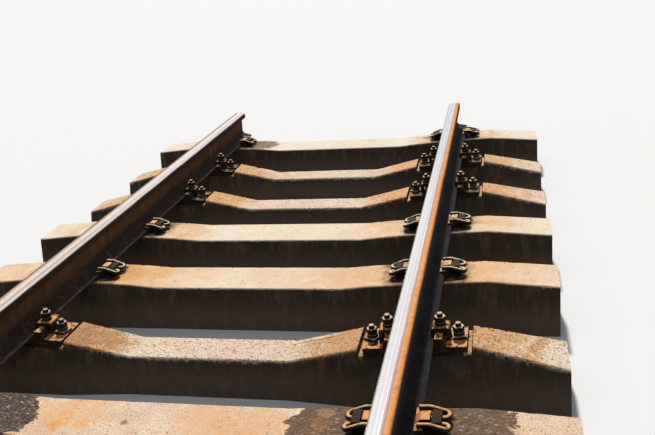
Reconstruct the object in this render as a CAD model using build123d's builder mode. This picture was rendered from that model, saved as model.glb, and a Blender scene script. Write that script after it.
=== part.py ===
from build123d import *
from math import atan, ceil, cos, radians, sin, sqrt
import os

# Railway track panel, in millimetres.
# X runs across the track, Y along it, Z up.
# The origin is on the floor, at the middle of the panel's length and width.

# Track
gauge = 1520.0
gauge_depth = 14.0
bay = 545.0
lead_near = 345.0
sleeper_kinds = "ABAABBA"
cant_slope = 1 / 20

# Rail section
rail_height = 180.0
foot_width = 150.0
foot_edge = 11.2
foot_slope = 1 / 4
foot_corner = 3.0
web_width = 18.0
web_fillet = 24.0
head_width = 75.0
head_depth = 45.0
head_slope = 1 / 4
crown_radius = 400.0
crown_corner = 13.0

# Seats: what lies between a sleeper and the rail foot
rail_pad_a = 10.0
rail_pad_b = 8.0
rail_pad_length = 150.0
seat_pad = 8.0

# Sleepers of kind A
sleeper_length = 2700.0
sleeper_width = 300.0
top_width_a = 212.0
dip_a = 25.0
middle_half_a = 430.0
seat_half_a = 245.0
end_height_a = 206.0
edge_chamfer_a = 6.0

# Sleepers of kind B
seat_height_b = 193.0
top_width_b = 177.0
waist_width_b = 250.0
middle_height_b = 145.0
middle_half_b = 330.0
recess_half_b = 204.0
recess_depth = 25.0
recess_ease = 5.0
end_height_b = 155.0
edge_chamfer_b = 10.0

# Fit between neighbouring pieces, and flats that stand for a round on small repeated pieces
seat_gap = 0.3
hole_clearance = 1.5
shank_sides = 8
washer_sides = 12

# Spring clip, kind A
bar = 17.0
bar_sides = 8
chord_angle = radians(46)
inner_leg = 16.0
outer_leg = 45.5
clip_reach = 158.5
clip_level = 22.0

# Clip block, kind A
post_thickness = 8.0
block_length = 45.0
wing_length = 116.0
wing_thickness = 7.0
wing_reach = 18.0
nose_reach = 28.0
nose_thickness = 15.0

# Clip anchor, kind A
anchor_gap = 8.0
anchor_length = 30.0
bridge_thickness = 13.0
bridge_chamfer = 4.0
stem_depth = 95.0
stem_thickness = 16.0
stem_width = 60.0

# Ribbed baseplate, kind B
plate_length = 380.0
plate_width = 150.0
plate_thickness = 17.0
plate_edge = 12.0
ledge_drop = 3.0
rib_gap = 1.5
rib_base = 40.0
rib_top = 28.0
rib_height = 30.0
slot_width = 25.0
pocket_width = 48.0
pocket_height = 16.0
pocket_floor = 12.0

# Rigid clamp, kind B
clamp_length = 62.0
clamp_thickness = 16.0
clamp_wall = 13.0
clamp_gap = 2.0
clamp_ease = 1.0
clamp_nose = 8.0
clamp_nose_fall = 10.0
clamp_back = 6.0
toe_reach = 15.0

# Bolts, kind B
bolt_diameter = 22.0
nut_across = 36.0
nut_height = 21.0
washer_diameter = 42.0
washer_height = 14.0
bolt_stand = 13.0
bolt_head_across = 24.0
bolt_head_length = 44.0
anchor_bolt_place = 160.0
anchor_bolt_depth = 120.0
anchor_slot_length = 50.0
bush_height = 9.0
bush_width = 52.0

# Values that follow
rail_length = len(sleeper_kinds) * bay
first_sleeper = -rail_length / 2 + lead_near
cant = atan(cant_slope)
foot_half = foot_width / 2
head_half = head_width / 2
web_half = web_width / 2
crown_drop = crown_radius - sqrt(crown_radius**2 - head_half**2)
stack_b = rail_pad_b + plate_thickness + seat_pad
gauge_face = rail_height - gauge_depth
foot_x = gauge / 2 + head_half * cos(cant) + gauge_face * sin(cant)
foot_z = seat_height_b + stack_b * cos(cant)
seat_height_a = foot_z - rail_pad_a * cos(cant)
seat_x_a = foot_x + rail_pad_a * sin(cant)
seat_x_b = foot_x + stack_b * sin(cant)
bar_half = bar / 2
bolt_half = bolt_diameter / 2
hole_width = bolt_diameter + 2 * hole_clearance


def foot_top(x):
    """Height of the rail foot's upper face above its underside."""
    return foot_edge + (foot_half - abs(x)) * foot_slope


def rail_frame(side, y, drop=0.0, turn=1):
    """Plane under a rail's foot, its x out of the track for turn 1 and into it for turn -1."""
    up = Vector(-side * sin(cant), 0, cos(cant))
    out = Vector(side * cos(cant), 0, sin(cant))
    return Plane(origin=Vector(side * foot_x, y, foot_z) - up * drop, x_dir=out * turn, z_dir=up)


def two_seats(y, drop):
    """Frames of the two rails at one sleeper."""
    return [rail_frame(side, y, drop) for side in (-1, 1)]


def four_sides(y, drop):
    """Frames of the four fastenings at one sleeper, two at each rail."""
    return [rail_frame(side, y, drop, turn) for side in (-1, 1) for turn in (-1, 1)]


def mirrored(points):
    """Points from the middle to the end, with their mirror image before them."""
    return [(-x, *rest) for x, *rest in reversed(points)] + points


def profile_block(points, width):
    """Solid with an outline in XZ and a width along Y, about the middle."""
    with BuildPart() as block:
        with BuildSketch(Plane.XZ):
            with BuildLine():
                Polyline(*points, close=True)
            make_face()
        extrude(amount=width / 2, both=True)
    return block.part


def save(part, name):
    """Label a finished piece and write its file."""
    part.label = name
    export_step(part, f"parts/{name}.step")


def save_copies(piece, frames, name, place=0.0):
    """Write one node that holds a copy of a piece in each frame, some way out along the frame's x."""
    with BuildPart() as copies:
        with Locations(*frames):
            with Locations((place, 0, 0)):
                add(piece)
    save(copies.part, name)


os.makedirs("parts", exist_ok=True)

# Rails
shoulder_level = rail_height - crown_drop
under_head = rail_height - head_depth
head_edge = under_head + (head_half - web_half) * head_slope
right_half = [(foot_half, 0), (foot_half, foot_edge), (web_half, foot_top(web_half)),
              (web_half, under_head), (head_half, head_edge), (head_half, shoulder_level)]
left_half = [(-x, z) for x, z in reversed(right_half)]

for side, name in ((-1, "rail_left"), (1, "rail_right")):
    section = Plane(origin=(side * foot_x, 0, foot_z), x_dir=(side * cos(cant), 0, sin(cant)),
                    z_dir=(0, -side, 0))
    with BuildPart() as rail:
        with BuildSketch(section) as rail_section:
            with BuildLine():
                Polyline(*left_half, *right_half)
                ThreePointArc(right_half[-1], (0, rail_height), left_half[0])
            make_face()
            web_corners = rail_section.vertices().filter_by(lambda v: abs(v.X) < (web_half + head_half) / 2)
            fillet(web_corners, web_fillet)
            fillet(rail_section.vertices().group_by(Axis.Y)[-1], crown_corner)
            fillet(rail_section.vertices().group_by(Axis.Y)[0], foot_corner)
        extrude(amount=rail_length / 2, both=True)
    save(rail.part, name)


def sleeper_body(stations, side_slope, edge_chamfer):
    """Beam with flat faces through trapezoid sections, each given by place, base width and height."""
    sections = []
    for x, width, height in mirrored(stations):
        base = width / 2
        flank = base - side_slope * (height - edge_chamfer)
        crest = flank - edge_chamfer
        half = [(base, 0), (flank, height - edge_chamfer), (crest, height)]
        outline = [(-y, z) for y, z in half] + half[::-1]
        sections.append([Vector(x, y, z) for y, z in outline])
    underside = [corners[0] for corners in sections] + [corners[-1] for corners in reversed(sections)]
    outlines = [sections[0], sections[-1], underside]
    for one, other in zip(sections, sections[1:]):
        for low, high in zip(range(len(one) - 1), range(1, len(one))):
            outlines.append([one[low], other[low], other[high], one[high]])
    return Solid(Shell([Face(Wire.make_polygon(outline)) for outline in outlines]))


# Sleeper of kind A: wide and flat, with a shallow dip between the rails
half_end = sleeper_length / 2
seat_rise_a = seat_half_a * cant_slope
stations_a = [(middle_half_a, sleeper_width, seat_height_a - dip_a),
              (seat_x_a - seat_half_a, sleeper_width, seat_height_a - seat_rise_a),
              (seat_x_a + seat_half_a, sleeper_width, seat_height_a + seat_rise_a),
              (half_end, sleeper_width, end_height_a)]
side_slope_a = (sleeper_width - top_width_a) / 2 / seat_height_a
anchor_place = foot_half + seat_gap + post_thickness + bar + anchor_gap + anchor_length / 2

beam_a = sleeper_body(stations_a, side_slope_a, edge_chamfer_a)
with BuildPart() as sleeper_a:
    add(beam_a)
    with Locations(*four_sides(0, rail_pad_a)):
        with Locations((anchor_place, 0, 0)):
            Box(stem_thickness + 2 * seat_gap, stem_width + 2 * seat_gap, 2 * (stem_depth + seat_gap),
                mode=Mode.SUBTRACT)

# Sleeper of kind B: waisted and deeply dipped, with a recess under each rail and slots for the anchor bolts
side_slope_b = (sleeper_width - top_width_b) / 2 / seat_height_b
inner_step = seat_x_b - recess_half_b
outer_step = seat_x_b + recess_half_b
inner_floor = seat_height_b - recess_half_b * cant_slope
outer_floor = seat_height_b + recess_half_b * cant_slope
stations_b = [(middle_half_b, waist_width_b, middle_height_b),
              (inner_step - recess_ease, sleeper_width, inner_floor + recess_depth),
              (inner_step, sleeper_width, inner_floor),
              (outer_step, sleeper_width, outer_floor),
              (outer_step + recess_ease, sleeper_width, outer_floor + recess_depth),
              (half_end, sleeper_width, end_height_b)]
slot_depth = 2 * (anchor_bolt_depth + hole_clearance)

beam_b = sleeper_body(stations_b, side_slope_b, edge_chamfer_b)
with BuildPart() as sleeper_b:
    add(beam_b)
    with Locations(*four_sides(0, stack_b)):
        with Locations((anchor_bolt_place, 0, 0)):
            Box(hole_width, anchor_slot_length, slot_depth, mode=Mode.SUBTRACT)

# Pads
lying = (Align.CENTER, Align.CENTER, Align.MIN)
with BuildPart() as pad_a:
    Box(foot_width, rail_pad_length, rail_pad_a, align=lying)
with BuildPart() as pad_b:
    Box(foot_width, plate_width, rail_pad_b, align=lying)
with BuildPart() as plate_pad:
    Box(plate_length, plate_width, seat_pad, align=lying)
    with Locations((-anchor_bolt_place, 0, 0), (anchor_bolt_place, 0, 0)):
        Box(hole_width, anchor_slot_length, 2 * seat_pad + hole_clearance, mode=Mode.SUBTRACT)

# Clip block: it caps the edge of the rail foot, and its nose reaches over the clip's inner bend
post_start = foot_half + seat_gap
post_end = post_start + post_thickness
bend_centre = post_end + seat_gap + bar_half
nose_level = clip_level + bar_half + seat_gap
nose_end = post_start + nose_reach
wing_start = foot_half - wing_reach
wing_under = rail_pad_a + foot_top(wing_start)
wing_level = wing_under + wing_thickness
foot_cap = [(wing_start, wing_under), (foot_half, rail_pad_a + foot_edge),
            (post_start, rail_pad_a + foot_edge), (post_start, 0), (post_end, 0)]
nose_outline = foot_cap + [(post_end, nose_level), (nose_end, nose_level),
                           (nose_end, nose_level + nose_thickness),
                           (post_start, nose_level + nose_thickness), (wing_start, wing_level)]
wing_outline = foot_cap + [(post_end, wing_level), (wing_start, wing_level)]
nose = profile_block(nose_outline, block_length)
wings = profile_block(wing_outline, wing_length)
with BuildPart() as clip_block:
    add(nose)
    add(wings)

# Spring clip: one bent bar, two outer legs that press on the block's wings and two inner legs in the anchor
toe_level = wing_level + bar_half + seat_gap
toe_x = wing_start + bar_half
rise_x = post_end + bar
loop_radius = (outer_leg - inner_leg) / 2 - seat_gap
end_radius = inner_leg - seat_gap
half_path = [(toe_x, outer_leg, toe_level), (rise_x, outer_leg, toe_level),
             (clip_reach, outer_leg, clip_level), (clip_reach, inner_leg, clip_level),
             (bend_centre, inner_leg, clip_level)]
other_half = [(x, -y, z) for x, y, z in reversed(half_path)]
half_bends = [bar, loop_radius, loop_radius, end_radius]
with BuildLine() as clip_centre:
    FilletPolyline(*half_path, *other_half, radius=half_bends + half_bends[::-1])
clip_points = []
for edge in clip_centre.wire().order_edges():
    steps = 1
    if edge.geom_type == GeomType.CIRCLE:
        steps = ceil(edge.length / edge.radius / chord_angle)
    if edge.length > bar_half / 2:
        clip_points += [edge @ (step / steps) for step in range(steps)]
clip_points.append(clip_centre.wire() @ 1)
with BuildPart() as spring_clip:
    with BuildLine() as clip_path:
        Polyline(*clip_points)
    with BuildSketch(Plane(origin=clip_path.line @ 0, z_dir=clip_path.line % 0)):
        RegularPolygon(bar_half, bar_sides)
    sweep(transition=Transition.RIGHT)

# Clip anchor: a cast portal over the inner legs, on a stem cast into the sleeper
cheek_in = inner_leg + bar_half + seat_gap
cheek_out = outer_leg - bar_half - seat_gap
bridge_under = clip_level + bar_half + seat_gap
bridge_top = bridge_under + bridge_thickness
portal_half = [(cheek_in, bridge_under), (cheek_in, 0), (cheek_out, 0),
               (cheek_out, bridge_top - bridge_chamfer), (cheek_out - bridge_chamfer, bridge_top)]
with BuildPart() as clip_anchor:
    with BuildSketch(Plane.YZ):
        with BuildLine():
            Polyline(*mirrored(portal_half), close=True)
        make_face()
    extrude(amount=anchor_length / 2, both=True)
    Box(stem_thickness, stem_width, stem_depth, align=(Align.CENTER, Align.CENTER, Align.MAX))

# Ribbed baseplate
rib_start = foot_half + rib_gap
rib_end = rib_start + rib_base
rib_centre = rib_start + rib_base / 2
plate_half = plate_length / 2
plate_seat = seat_pad + plate_thickness
plate_side = [(rib_start, plate_seat), (rib_start, plate_seat + rib_height),
              (rib_start + rib_top, plate_seat + rib_height), (rib_end, plate_seat - ledge_drop),
              (plate_half, seat_pad + plate_edge), (plate_half, seat_pad)]
rib_low = seat_pad + pocket_floor
ribbed_bar = profile_block(mirrored(plate_side), plate_width)
with BuildPart() as baseplate:
    add(ribbed_bar)
    with Locations((-anchor_bolt_place, 0, plate_seat), (anchor_bolt_place, 0, plate_seat)):
        Box(hole_width, anchor_slot_length, 2 * plate_seat, mode=Mode.SUBTRACT)
    with Locations((-rib_centre, 0, rib_low), (rib_centre, 0, rib_low)):
        Box(rib_base, slot_width, rib_height + plate_thickness, align=lying, mode=Mode.SUBTRACT)
        Box(bolt_head_across + 2 * seat_gap, pocket_width, pocket_height, align=lying, mode=Mode.SUBTRACT)


def ledge_level(x):
    """Height of the baseplate's outer ledge."""
    fall = (plate_thickness - ledge_drop - plate_edge) / (plate_half - rib_end)
    return plate_seat - ledge_drop - (x - rib_end) * fall


def clamp_foot(x):
    """Height of the rail foot's upper face in the baseplate's frame."""
    return plate_seat + rail_pad_b + foot_top(x)


# Rigid clamp: a short channel over the rib, one toe on the rail foot and one on the plate
clamp_under = plate_seat + rib_height + clamp_gap
clamp_top = clamp_under + clamp_thickness
clamp_start = foot_half - toe_reach
toe_end = foot_half - clamp_ease
wall_start = rib_end + clamp_ease
clamp_end = wall_start + clamp_wall
clamp_outline = [(clamp_start, clamp_foot(clamp_start)), (toe_end, clamp_foot(toe_end)),
                 (toe_end, clamp_under), (wall_start, clamp_under),
                 (wall_start, ledge_level(wall_start)), (clamp_end, ledge_level(clamp_end)),
                 (clamp_end, clamp_top - clamp_back), (clamp_end - clamp_back, clamp_top),
                 (clamp_start + clamp_nose, clamp_top), (clamp_start, clamp_top - clamp_nose_fall)]
channel = profile_block(clamp_outline, clamp_length)
with BuildPart() as clamp:
    add(channel)
    with BuildSketch(Plane.XY.offset(clamp_under - clamp_gap)):
        with Locations((rib_centre, 0)):
            RegularPolygon(hole_width / 2, shank_sides)
    extrude(amount=clamp_thickness + 2 * clamp_gap, mode=Mode.SUBTRACT)


def bolt_stack(low, level, top):
    """Shank from low to top, with a spring washer and a nut above a level."""
    with BuildPart() as stack:
        with BuildSketch(Plane.XY.offset(level)):
            RegularPolygon(washer_diameter / 2, washer_sides)
        extrude(amount=washer_height)
        with BuildSketch(Plane.XY.offset(level + washer_height)):
            RegularPolygon(nut_across / 2, 6, major_radius=False)
        extrude(amount=nut_height)
        with BuildSketch(Plane.XY.offset(low)):
            RegularPolygon(bolt_half, shank_sides)
        extrude(amount=top - low)
    return stack.part


# Clamp bolt: its head lies in the rib's pocket
clamp_bolt_top = clamp_top + washer_height + nut_height + bolt_stand
clamp_stack = bolt_stack(rib_low, clamp_top, clamp_bolt_top)
with BuildPart() as clamp_bolt:
    add(clamp_stack)
    with Locations((0, 0, rib_low)):
        Box(bolt_head_across, bolt_head_length, pocket_height - seat_gap, align=lying)

# Anchor bolt: it holds the baseplate's ledge down, over an insulating bush and its cap
bush_level = ledge_level(anchor_bolt_place - bush_width / 2)
bush_top = bush_level + bush_height
anchor_bolt_top = bush_top + washer_height + nut_height + bolt_stand
anchor_stack = bolt_stack(-anchor_bolt_depth, bush_top, anchor_bolt_top)
with BuildPart() as anchor_bolt:
    add(anchor_stack)
    with Locations((0, 0, bush_level)):
        Box(bush_width, bush_width, bush_height, align=lying)

# Pieces of each sleeper
for number, kind in enumerate(sleeper_kinds, start=1):
    y = first_sleeper + (number - 1) * bay
    middle = [Plane.XY.move(Location((0, y, 0)))]
    if kind == "A":
        sides = four_sides(y, rail_pad_a)
        save_copies(sleeper_a.part, middle, f"sleeper_{number}")
        save_copies(pad_a.part, two_seats(y, rail_pad_a), f"rail_pads_{number}")
        save_copies(clip_block.part, sides, f"clip_blocks_{number}")
        save_copies(clip_anchor.part, sides, f"clip_anchors_{number}", anchor_place)
        save_copies(spring_clip.part, sides, f"spring_clips_{number}")
    else:
        sides = four_sides(y, stack_b)
        save_copies(sleeper_b.part, middle, f"sleeper_{number}")
        save_copies(plate_pad.part, two_seats(y, stack_b), f"seat_pads_{number}")
        save_copies(baseplate.part, two_seats(y, stack_b), f"baseplates_{number}")
        save_copies(pad_b.part, two_seats(y, rail_pad_b), f"rail_pads_{number}")
        save_copies(clamp.part, sides, f"clamps_{number}")
        save_copies(clamp_bolt.part, sides, f"clamp_bolts_{number}", rib_centre)
        save_copies(anchor_bolt.part, sides, f"anchor_bolts_{number}", anchor_bolt_place)
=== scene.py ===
"""Looks of the railway track panel: rails, two kinds of concrete sleeper and their fastenings.

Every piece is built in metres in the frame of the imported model. X runs across the track, Y along
it, away from the near end, and Z up. Pieces at a rail are built in that rail's own frame, whose x
points away from the rail's axis and whose z points up from what the piece stands on.
"""

import logging
import math
from abc import ABC, abstractmethod
from dataclasses import dataclass, replace
from enum import Enum
from functools import cached_property
from typing import Callable, ClassVar, Iterable, Sequence

import bmesh
import bpy
from mathutils import Matrix, Vector, noise


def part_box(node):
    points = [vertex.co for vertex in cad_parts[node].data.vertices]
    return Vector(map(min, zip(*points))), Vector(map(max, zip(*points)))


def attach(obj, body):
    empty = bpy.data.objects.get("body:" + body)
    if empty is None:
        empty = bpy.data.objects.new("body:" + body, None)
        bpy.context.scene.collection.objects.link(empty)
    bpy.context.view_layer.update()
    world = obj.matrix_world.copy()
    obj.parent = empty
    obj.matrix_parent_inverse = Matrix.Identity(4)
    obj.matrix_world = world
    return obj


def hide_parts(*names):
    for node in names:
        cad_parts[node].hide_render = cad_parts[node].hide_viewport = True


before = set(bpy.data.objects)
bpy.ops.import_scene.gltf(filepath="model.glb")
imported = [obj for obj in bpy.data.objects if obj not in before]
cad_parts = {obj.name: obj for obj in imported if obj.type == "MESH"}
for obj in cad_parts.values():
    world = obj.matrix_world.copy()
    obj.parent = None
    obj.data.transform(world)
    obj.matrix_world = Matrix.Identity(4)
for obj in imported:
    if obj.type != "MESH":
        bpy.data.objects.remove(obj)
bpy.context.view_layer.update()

LOG = logging.getLogger("track_panel")
BODY = "root"
MM = 0.001  # metres in a millimetre
NEAR = 1e-9  # metres within which two places are one

Colour = tuple[float, float, float]
Point = tuple[float, float]
Mesh = bmesh.types.BMesh
Thing = bpy.types.Object
Material = bpy.types.Material


class Slot(Enum):
    """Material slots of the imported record."""

    RAIL = "rail_steel"
    SMOOTH = "smooth_concrete"
    COARSE = "coarse_concrete"
    PAD = "pad_rubber"
    IRON = "fastening_iron"
    SPRING = "spring_steel"
    PLATE = "plate_steel"
    BOLT = "bolt_steel"


class Side(Enum):
    """A rail, by the sign of its place across the track."""

    LEFT = -1
    RIGHT = 1


class Kind(Enum):
    """A kind of sleeper, by its letter in the panel's row."""

    SMOOTH = "A"
    COARSE = "B"


# Sizes


@dataclass(frozen=True)
class RailSizes:
    """Section of a flat-bottomed rail.

    Attributes:
        height: from the foot's underside to the running surface.
        foot_width: width of the foot.
        foot_edge: thickness of the foot at its edges.
        foot_slope: rise of the foot's upper face towards the web.
        web_width: thickness of the web.
        web_fillet: radius between the web and the foot or head.
        head_width: width of the head.
        head_depth: depth of the head beside the web.
        head_slope: rise of the head's underside away from the web.
        crown: radius of the running surface.
        crown_ease: how far it lies below the solid's, whose mesh cuts the arc a little short.
        shoulder: radius between the running surface and the head's side.
        edge_round: radius of the other edges.
    """

    height: float = 180 * MM
    foot_width: float = 150 * MM
    foot_edge: float = 11.2 * MM
    foot_slope: float = 0.25
    web_width: float = 18 * MM
    web_fillet: float = 24 * MM
    head_width: float = 75 * MM
    head_depth: float = 45 * MM
    head_slope: float = 0.25
    crown: float = 400 * MM
    crown_ease: float = 0.05 * MM
    shoulder: float = 13 * MM
    edge_round: float = 2.5 * MM

    def foot_top(self, x: float) -> float:
        """Height of the foot's upper face at a distance from the rail's axis."""
        return self.foot_edge + (self.foot_width / 2 - abs(x)) * self.foot_slope


@dataclass(frozen=True)
class TrackSizes:
    """Places that all the pieces share.

    Attributes:
        gauge: distance between the heads' inner sides.
        gauge_depth: how far below the crown it is measured.
        cant: lean of the rails into the track.
        seat_height: height of the coarse sleepers' seats below the rails.
        pad_smooth: thickness of the rail pads on smooth sleepers.
        pad_coarse: thickness of the rail pads on coarse sleepers.
        plate: thickness of the baseplates.
        plate_pad: thickness of the pads under them.
        rail: the rails' section.
    """

    gauge: float = 1520 * MM
    gauge_depth: float = 14 * MM
    cant: float = math.atan(1 / 20)
    seat_height: float = 193 * MM
    pad_smooth: float = 10 * MM
    pad_coarse: float = 8 * MM
    plate: float = 17 * MM
    plate_pad: float = 8 * MM
    rail: RailSizes = RailSizes()

    @property
    def stack_coarse(self) -> float:
        """Height of pad, baseplate and plate pad together."""
        return self.pad_coarse + self.plate + self.plate_pad

    @property
    def foot_x(self) -> float:
        """Distance from the track's middle to the middle of a rail's underside."""
        reach = self.rail.head_width / 2 * math.cos(self.cant)
        return self.gauge / 2 + reach + (self.rail.height - self.gauge_depth) * math.sin(self.cant)

    @property
    def foot_z(self) -> float:
        """Height of the middle of a rail's underside."""
        return self.seat_height + self.stack_coarse * math.cos(self.cant)

    def frame(self, side: Side, y: float, drop: float = 0.0, turn: int = 1) -> Matrix:
        """Frame of a rail at one place along the track.

        Args:
            side: the rail.
            y: place along the track.
            drop: how far below the rail's underside the frame's origin lies.
            turn: 1 where the frame's x points out of the track, -1 where it points into it.

        Returns:
            The frame as a matrix, with the same handedness on both rails and turns.
        """
        across = side.value
        up = Vector((-across * math.sin(self.cant), 0, math.cos(self.cant)))
        out = Vector((across * math.cos(self.cant), 0, math.sin(self.cant))) * turn
        origin = Vector((across * self.foot_x, y, self.foot_z)) - up * drop
        matrix = Matrix((out, up.cross(out), up)).transposed().to_4x4()
        matrix.translation = origin
        return matrix

    def four_sides(self, y: float, drop: float) -> list[Matrix]:
        """Frames of the four fastenings at one sleeper."""
        return [self.frame(side, y, drop, turn) for side in Side for turn in (-1, 1)]


TRACK = TrackSizes()


# Outlines and meshes


def rounded(points: Sequence[Sequence[float]], radii: Sequence[float], steps: int,
            closed: bool = False) -> list[Vector]:
    """Round the corners of a run of points with arcs.

    Args:
        points: corners, in two or three dimensions.
        radii: radius at each corner, 0 to keep it sharp.
        steps: chords in each arc.
        closed: whether the last corner joins the first.

    Returns:
        The points of the rounded run.
    """
    corners = [Vector(p) for p in points]
    run: list[Vector] = []
    count = len(corners)
    for i, (corner, radius) in enumerate(zip(corners, radii)):
        if radius <= 0 or (not closed and i in (0, count - 1)):
            run.append(corner)
            continue
        back = (corners[i - 1] - corner).normalized()
        ahead = (corners[(i + 1) % count] - corner).normalized()
        half = back.angle(ahead) / 2
        reach = radius / math.tan(half)
        centre = corner + (back + ahead).normalized() * (radius / math.sin(half))
        start = corner + back * reach - centre
        end = corner + ahead * reach - centre
        sweep = math.pi - 2 * half
        for step in range(steps + 1):
            angle = sweep * step / steps
            blend = start * math.sin(sweep - angle) + end * math.sin(angle)
            run.append(centre + blend / math.sin(sweep))
    return run


def add_rings(bm: Mesh, rings: Sequence[Sequence[Vector]], caps: bool = True) -> None:
    """Add a surface through rings of points.

    Args:
        bm: mesh to add to.
        rings: rings of as many points each.
        caps: whether the first and last rings are closed with a face.
    """
    made = [[bm.verts.new(p) for p in ring] for ring in rings]
    width = len(rings[0])
    for one, other in zip(made, made[1:]):
        for i in range(width):
            j = (i + 1) % width
            bm.faces.new((one[i], one[j], other[j], other[i]))
    if caps:
        bm.faces.new(list(reversed(made[0])))
        bm.faces.new(made[-1])


def add_tube(bm: Mesh, path: Sequence[Vector], radius: float, sides: int, end_round: float) -> None:
    """Add a round bar along a path, with its ends eased.

    Args:
        bm: mesh to add to.
        path: points of the bar's centre line.
        radius: the bar's radius.
        sides: points round the bar.
        end_round: how much the ends are eased.
    """
    tangents = []
    for i in range(len(path)):
        ahead = path[min(i + 1, len(path) - 1)] - path[max(i - 1, 0)]
        tangents.append(ahead.normalized())
    normal = tangents[0].orthogonal().normalized()
    rings = []
    for i, (centre, tangent) in enumerate(zip(path, tangents)):
        normal = (normal - tangent * normal.dot(tangent)).normalized()
        side = tangent.cross(normal)
        ring = []
        for k in range(sides):
            angle = 2 * math.pi * k / sides
            ring.append((normal * math.cos(angle) + side * math.sin(angle)) * radius)
        if i == 0:
            rings.append([centre + p * (1 - end_round / radius) for p in ring])
            rings.append([centre + p + tangent * end_round for p in ring])
        elif i == len(path) - 1:
            rings.append([centre + p - tangent * end_round for p in ring])
            rings.append([centre + p * (1 - end_round / radius) for p in ring])
        else:
            rings.append([centre + p for p in ring])
    add_rings(bm, rings)


def finish_mesh(bm: Mesh, name: str, sharp: float = 35.0) -> Thing:
    """Turn a mesh in the making into an object of the scene.

    Args:
        bm: the mesh, which is freed.
        name: name of the object.
        sharp: edges that turn by more than this many degrees stay crisp.

    Returns:
        The object.
    """
    bmesh.ops.recalc_face_normals(bm, faces=bm.faces)
    mesh = bpy.data.meshes.new(name)
    bm.to_mesh(mesh)
    bm.free()
    mesh.shade_smooth()
    mesh.set_sharp_from_angle(angle=math.radians(sharp))
    thing = bpy.data.objects.new(name, mesh)
    bpy.context.scene.collection.objects.link(thing)
    return thing


def add_copies(bm: Mesh, piece: Mesh, frames: Iterable[Matrix]) -> None:
    """Add a copy of a piece in each frame.

    Args:
        bm: mesh to add to.
        piece: the piece, built about its own origin.
        frames: places and turns of the copies.
    """
    mesh = bpy.data.meshes.new("copies")
    for placing in frames:
        turned = piece.copy()
        bmesh.ops.transform(turned, matrix=placing, verts=turned.verts)
        turned.to_mesh(mesh)
        bm.from_mesh(mesh)
        turned.free()
    bpy.data.meshes.remove(mesh)


# Materials


class Signal:
    """A number or colour that varies over a surface, with the usual signs for arithmetic."""

    def __init__(self, graph: "Graph", socket: bpy.types.NodeSocket) -> None:
        """Keep the graph and the socket that carries the value."""
        self.graph = graph
        self.socket = socket

    def __add__(self, other: "Signal | float") -> "Signal":
        """Add a signal or number."""
        return self.graph.math("ADD", self, other)

    def __radd__(self, other: float) -> "Signal":
        """Add the signal to a number."""
        return self.graph.math("ADD", other, self)

    def __sub__(self, other: "Signal | float") -> "Signal":
        """Take a signal or number away."""
        return self.graph.math("SUBTRACT", self, other)

    def __rsub__(self, other: float) -> "Signal":
        """Take the signal away from a number."""
        return self.graph.math("SUBTRACT", other, self)

    def __mul__(self, other: "Signal | float") -> "Signal":
        """Multiply by a signal or number."""
        return self.graph.math("MULTIPLY", self, other)

    def __abs__(self) -> "Signal":
        """The signal without its sign."""
        return self.graph.math("ABSOLUTE", self)

    def span(self, low: float, high: float, to_low: float = 0.0, to_high: float = 1.0,
             smooth: bool = True) -> "Signal":
        """Map a range of the signal to another range.

        Args:
            low: value that becomes to_low, as do all below it.
            high: value that becomes to_high, as do all above it.
            to_low: one end of the new range.
            to_high: its other end.
            smooth: whether the ends are eased.

        Returns:
            The mapped signal.
        """
        inputs = {"Value": self, "From Min": low, "From Max": high,
                  "To Min": to_low, "To Max": to_high}
        kind = "SMOOTHSTEP" if smooth else "LINEAR"
        return self.graph.out("ShaderNodeMapRange", inputs, "Result", interpolation_type=kind)


Value = Signal | float | Colour
Inputs = dict[str | int, Value]


class Graph:
    """Builds a node tree with short calls."""

    def __init__(self, tree: bpy.types.NodeTree) -> None:
        """Start with an empty tree."""
        self.tree = tree
        tree.nodes.clear()

    def node(self, kind: str, inputs: Inputs, **settings: object) -> bpy.types.Node:
        """Add a node.

        Args:
            kind: the node's type.
            inputs: signal or value for each of its inputs, by name or index.
            settings: properties of the node.

        Returns:
            The node.
        """
        made = self.tree.nodes.new(kind)
        for key, value in settings.items():
            setattr(made, key, value)
        for key, value in inputs.items():
            self.feed(made.inputs[key], value)
        return made

    def out(self, kind: str, inputs: Inputs, output: int | str = 0, **settings: object) -> Signal:
        """One output of a new node, by name or index."""
        return Signal(self, self.node(kind, inputs, **settings).outputs[output])

    def feed(self, socket: bpy.types.NodeSocket, value: Value) -> None:
        """Link a signal to an input, or set the input's value.

        Args:
            socket: the input.
            value: the signal, number or colour.
        """
        if isinstance(value, Signal):
            self.tree.links.new(value.socket, socket)
        elif socket.type == "RGBA":
            socket.default_value = (*value, 1.0)
        else:
            socket.default_value = value

    def math(self, operation: str, *values: Signal | float) -> Signal:
        """Result of a math node."""
        return self.out("ShaderNodeMath", dict(enumerate(values)), operation=operation)


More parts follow.
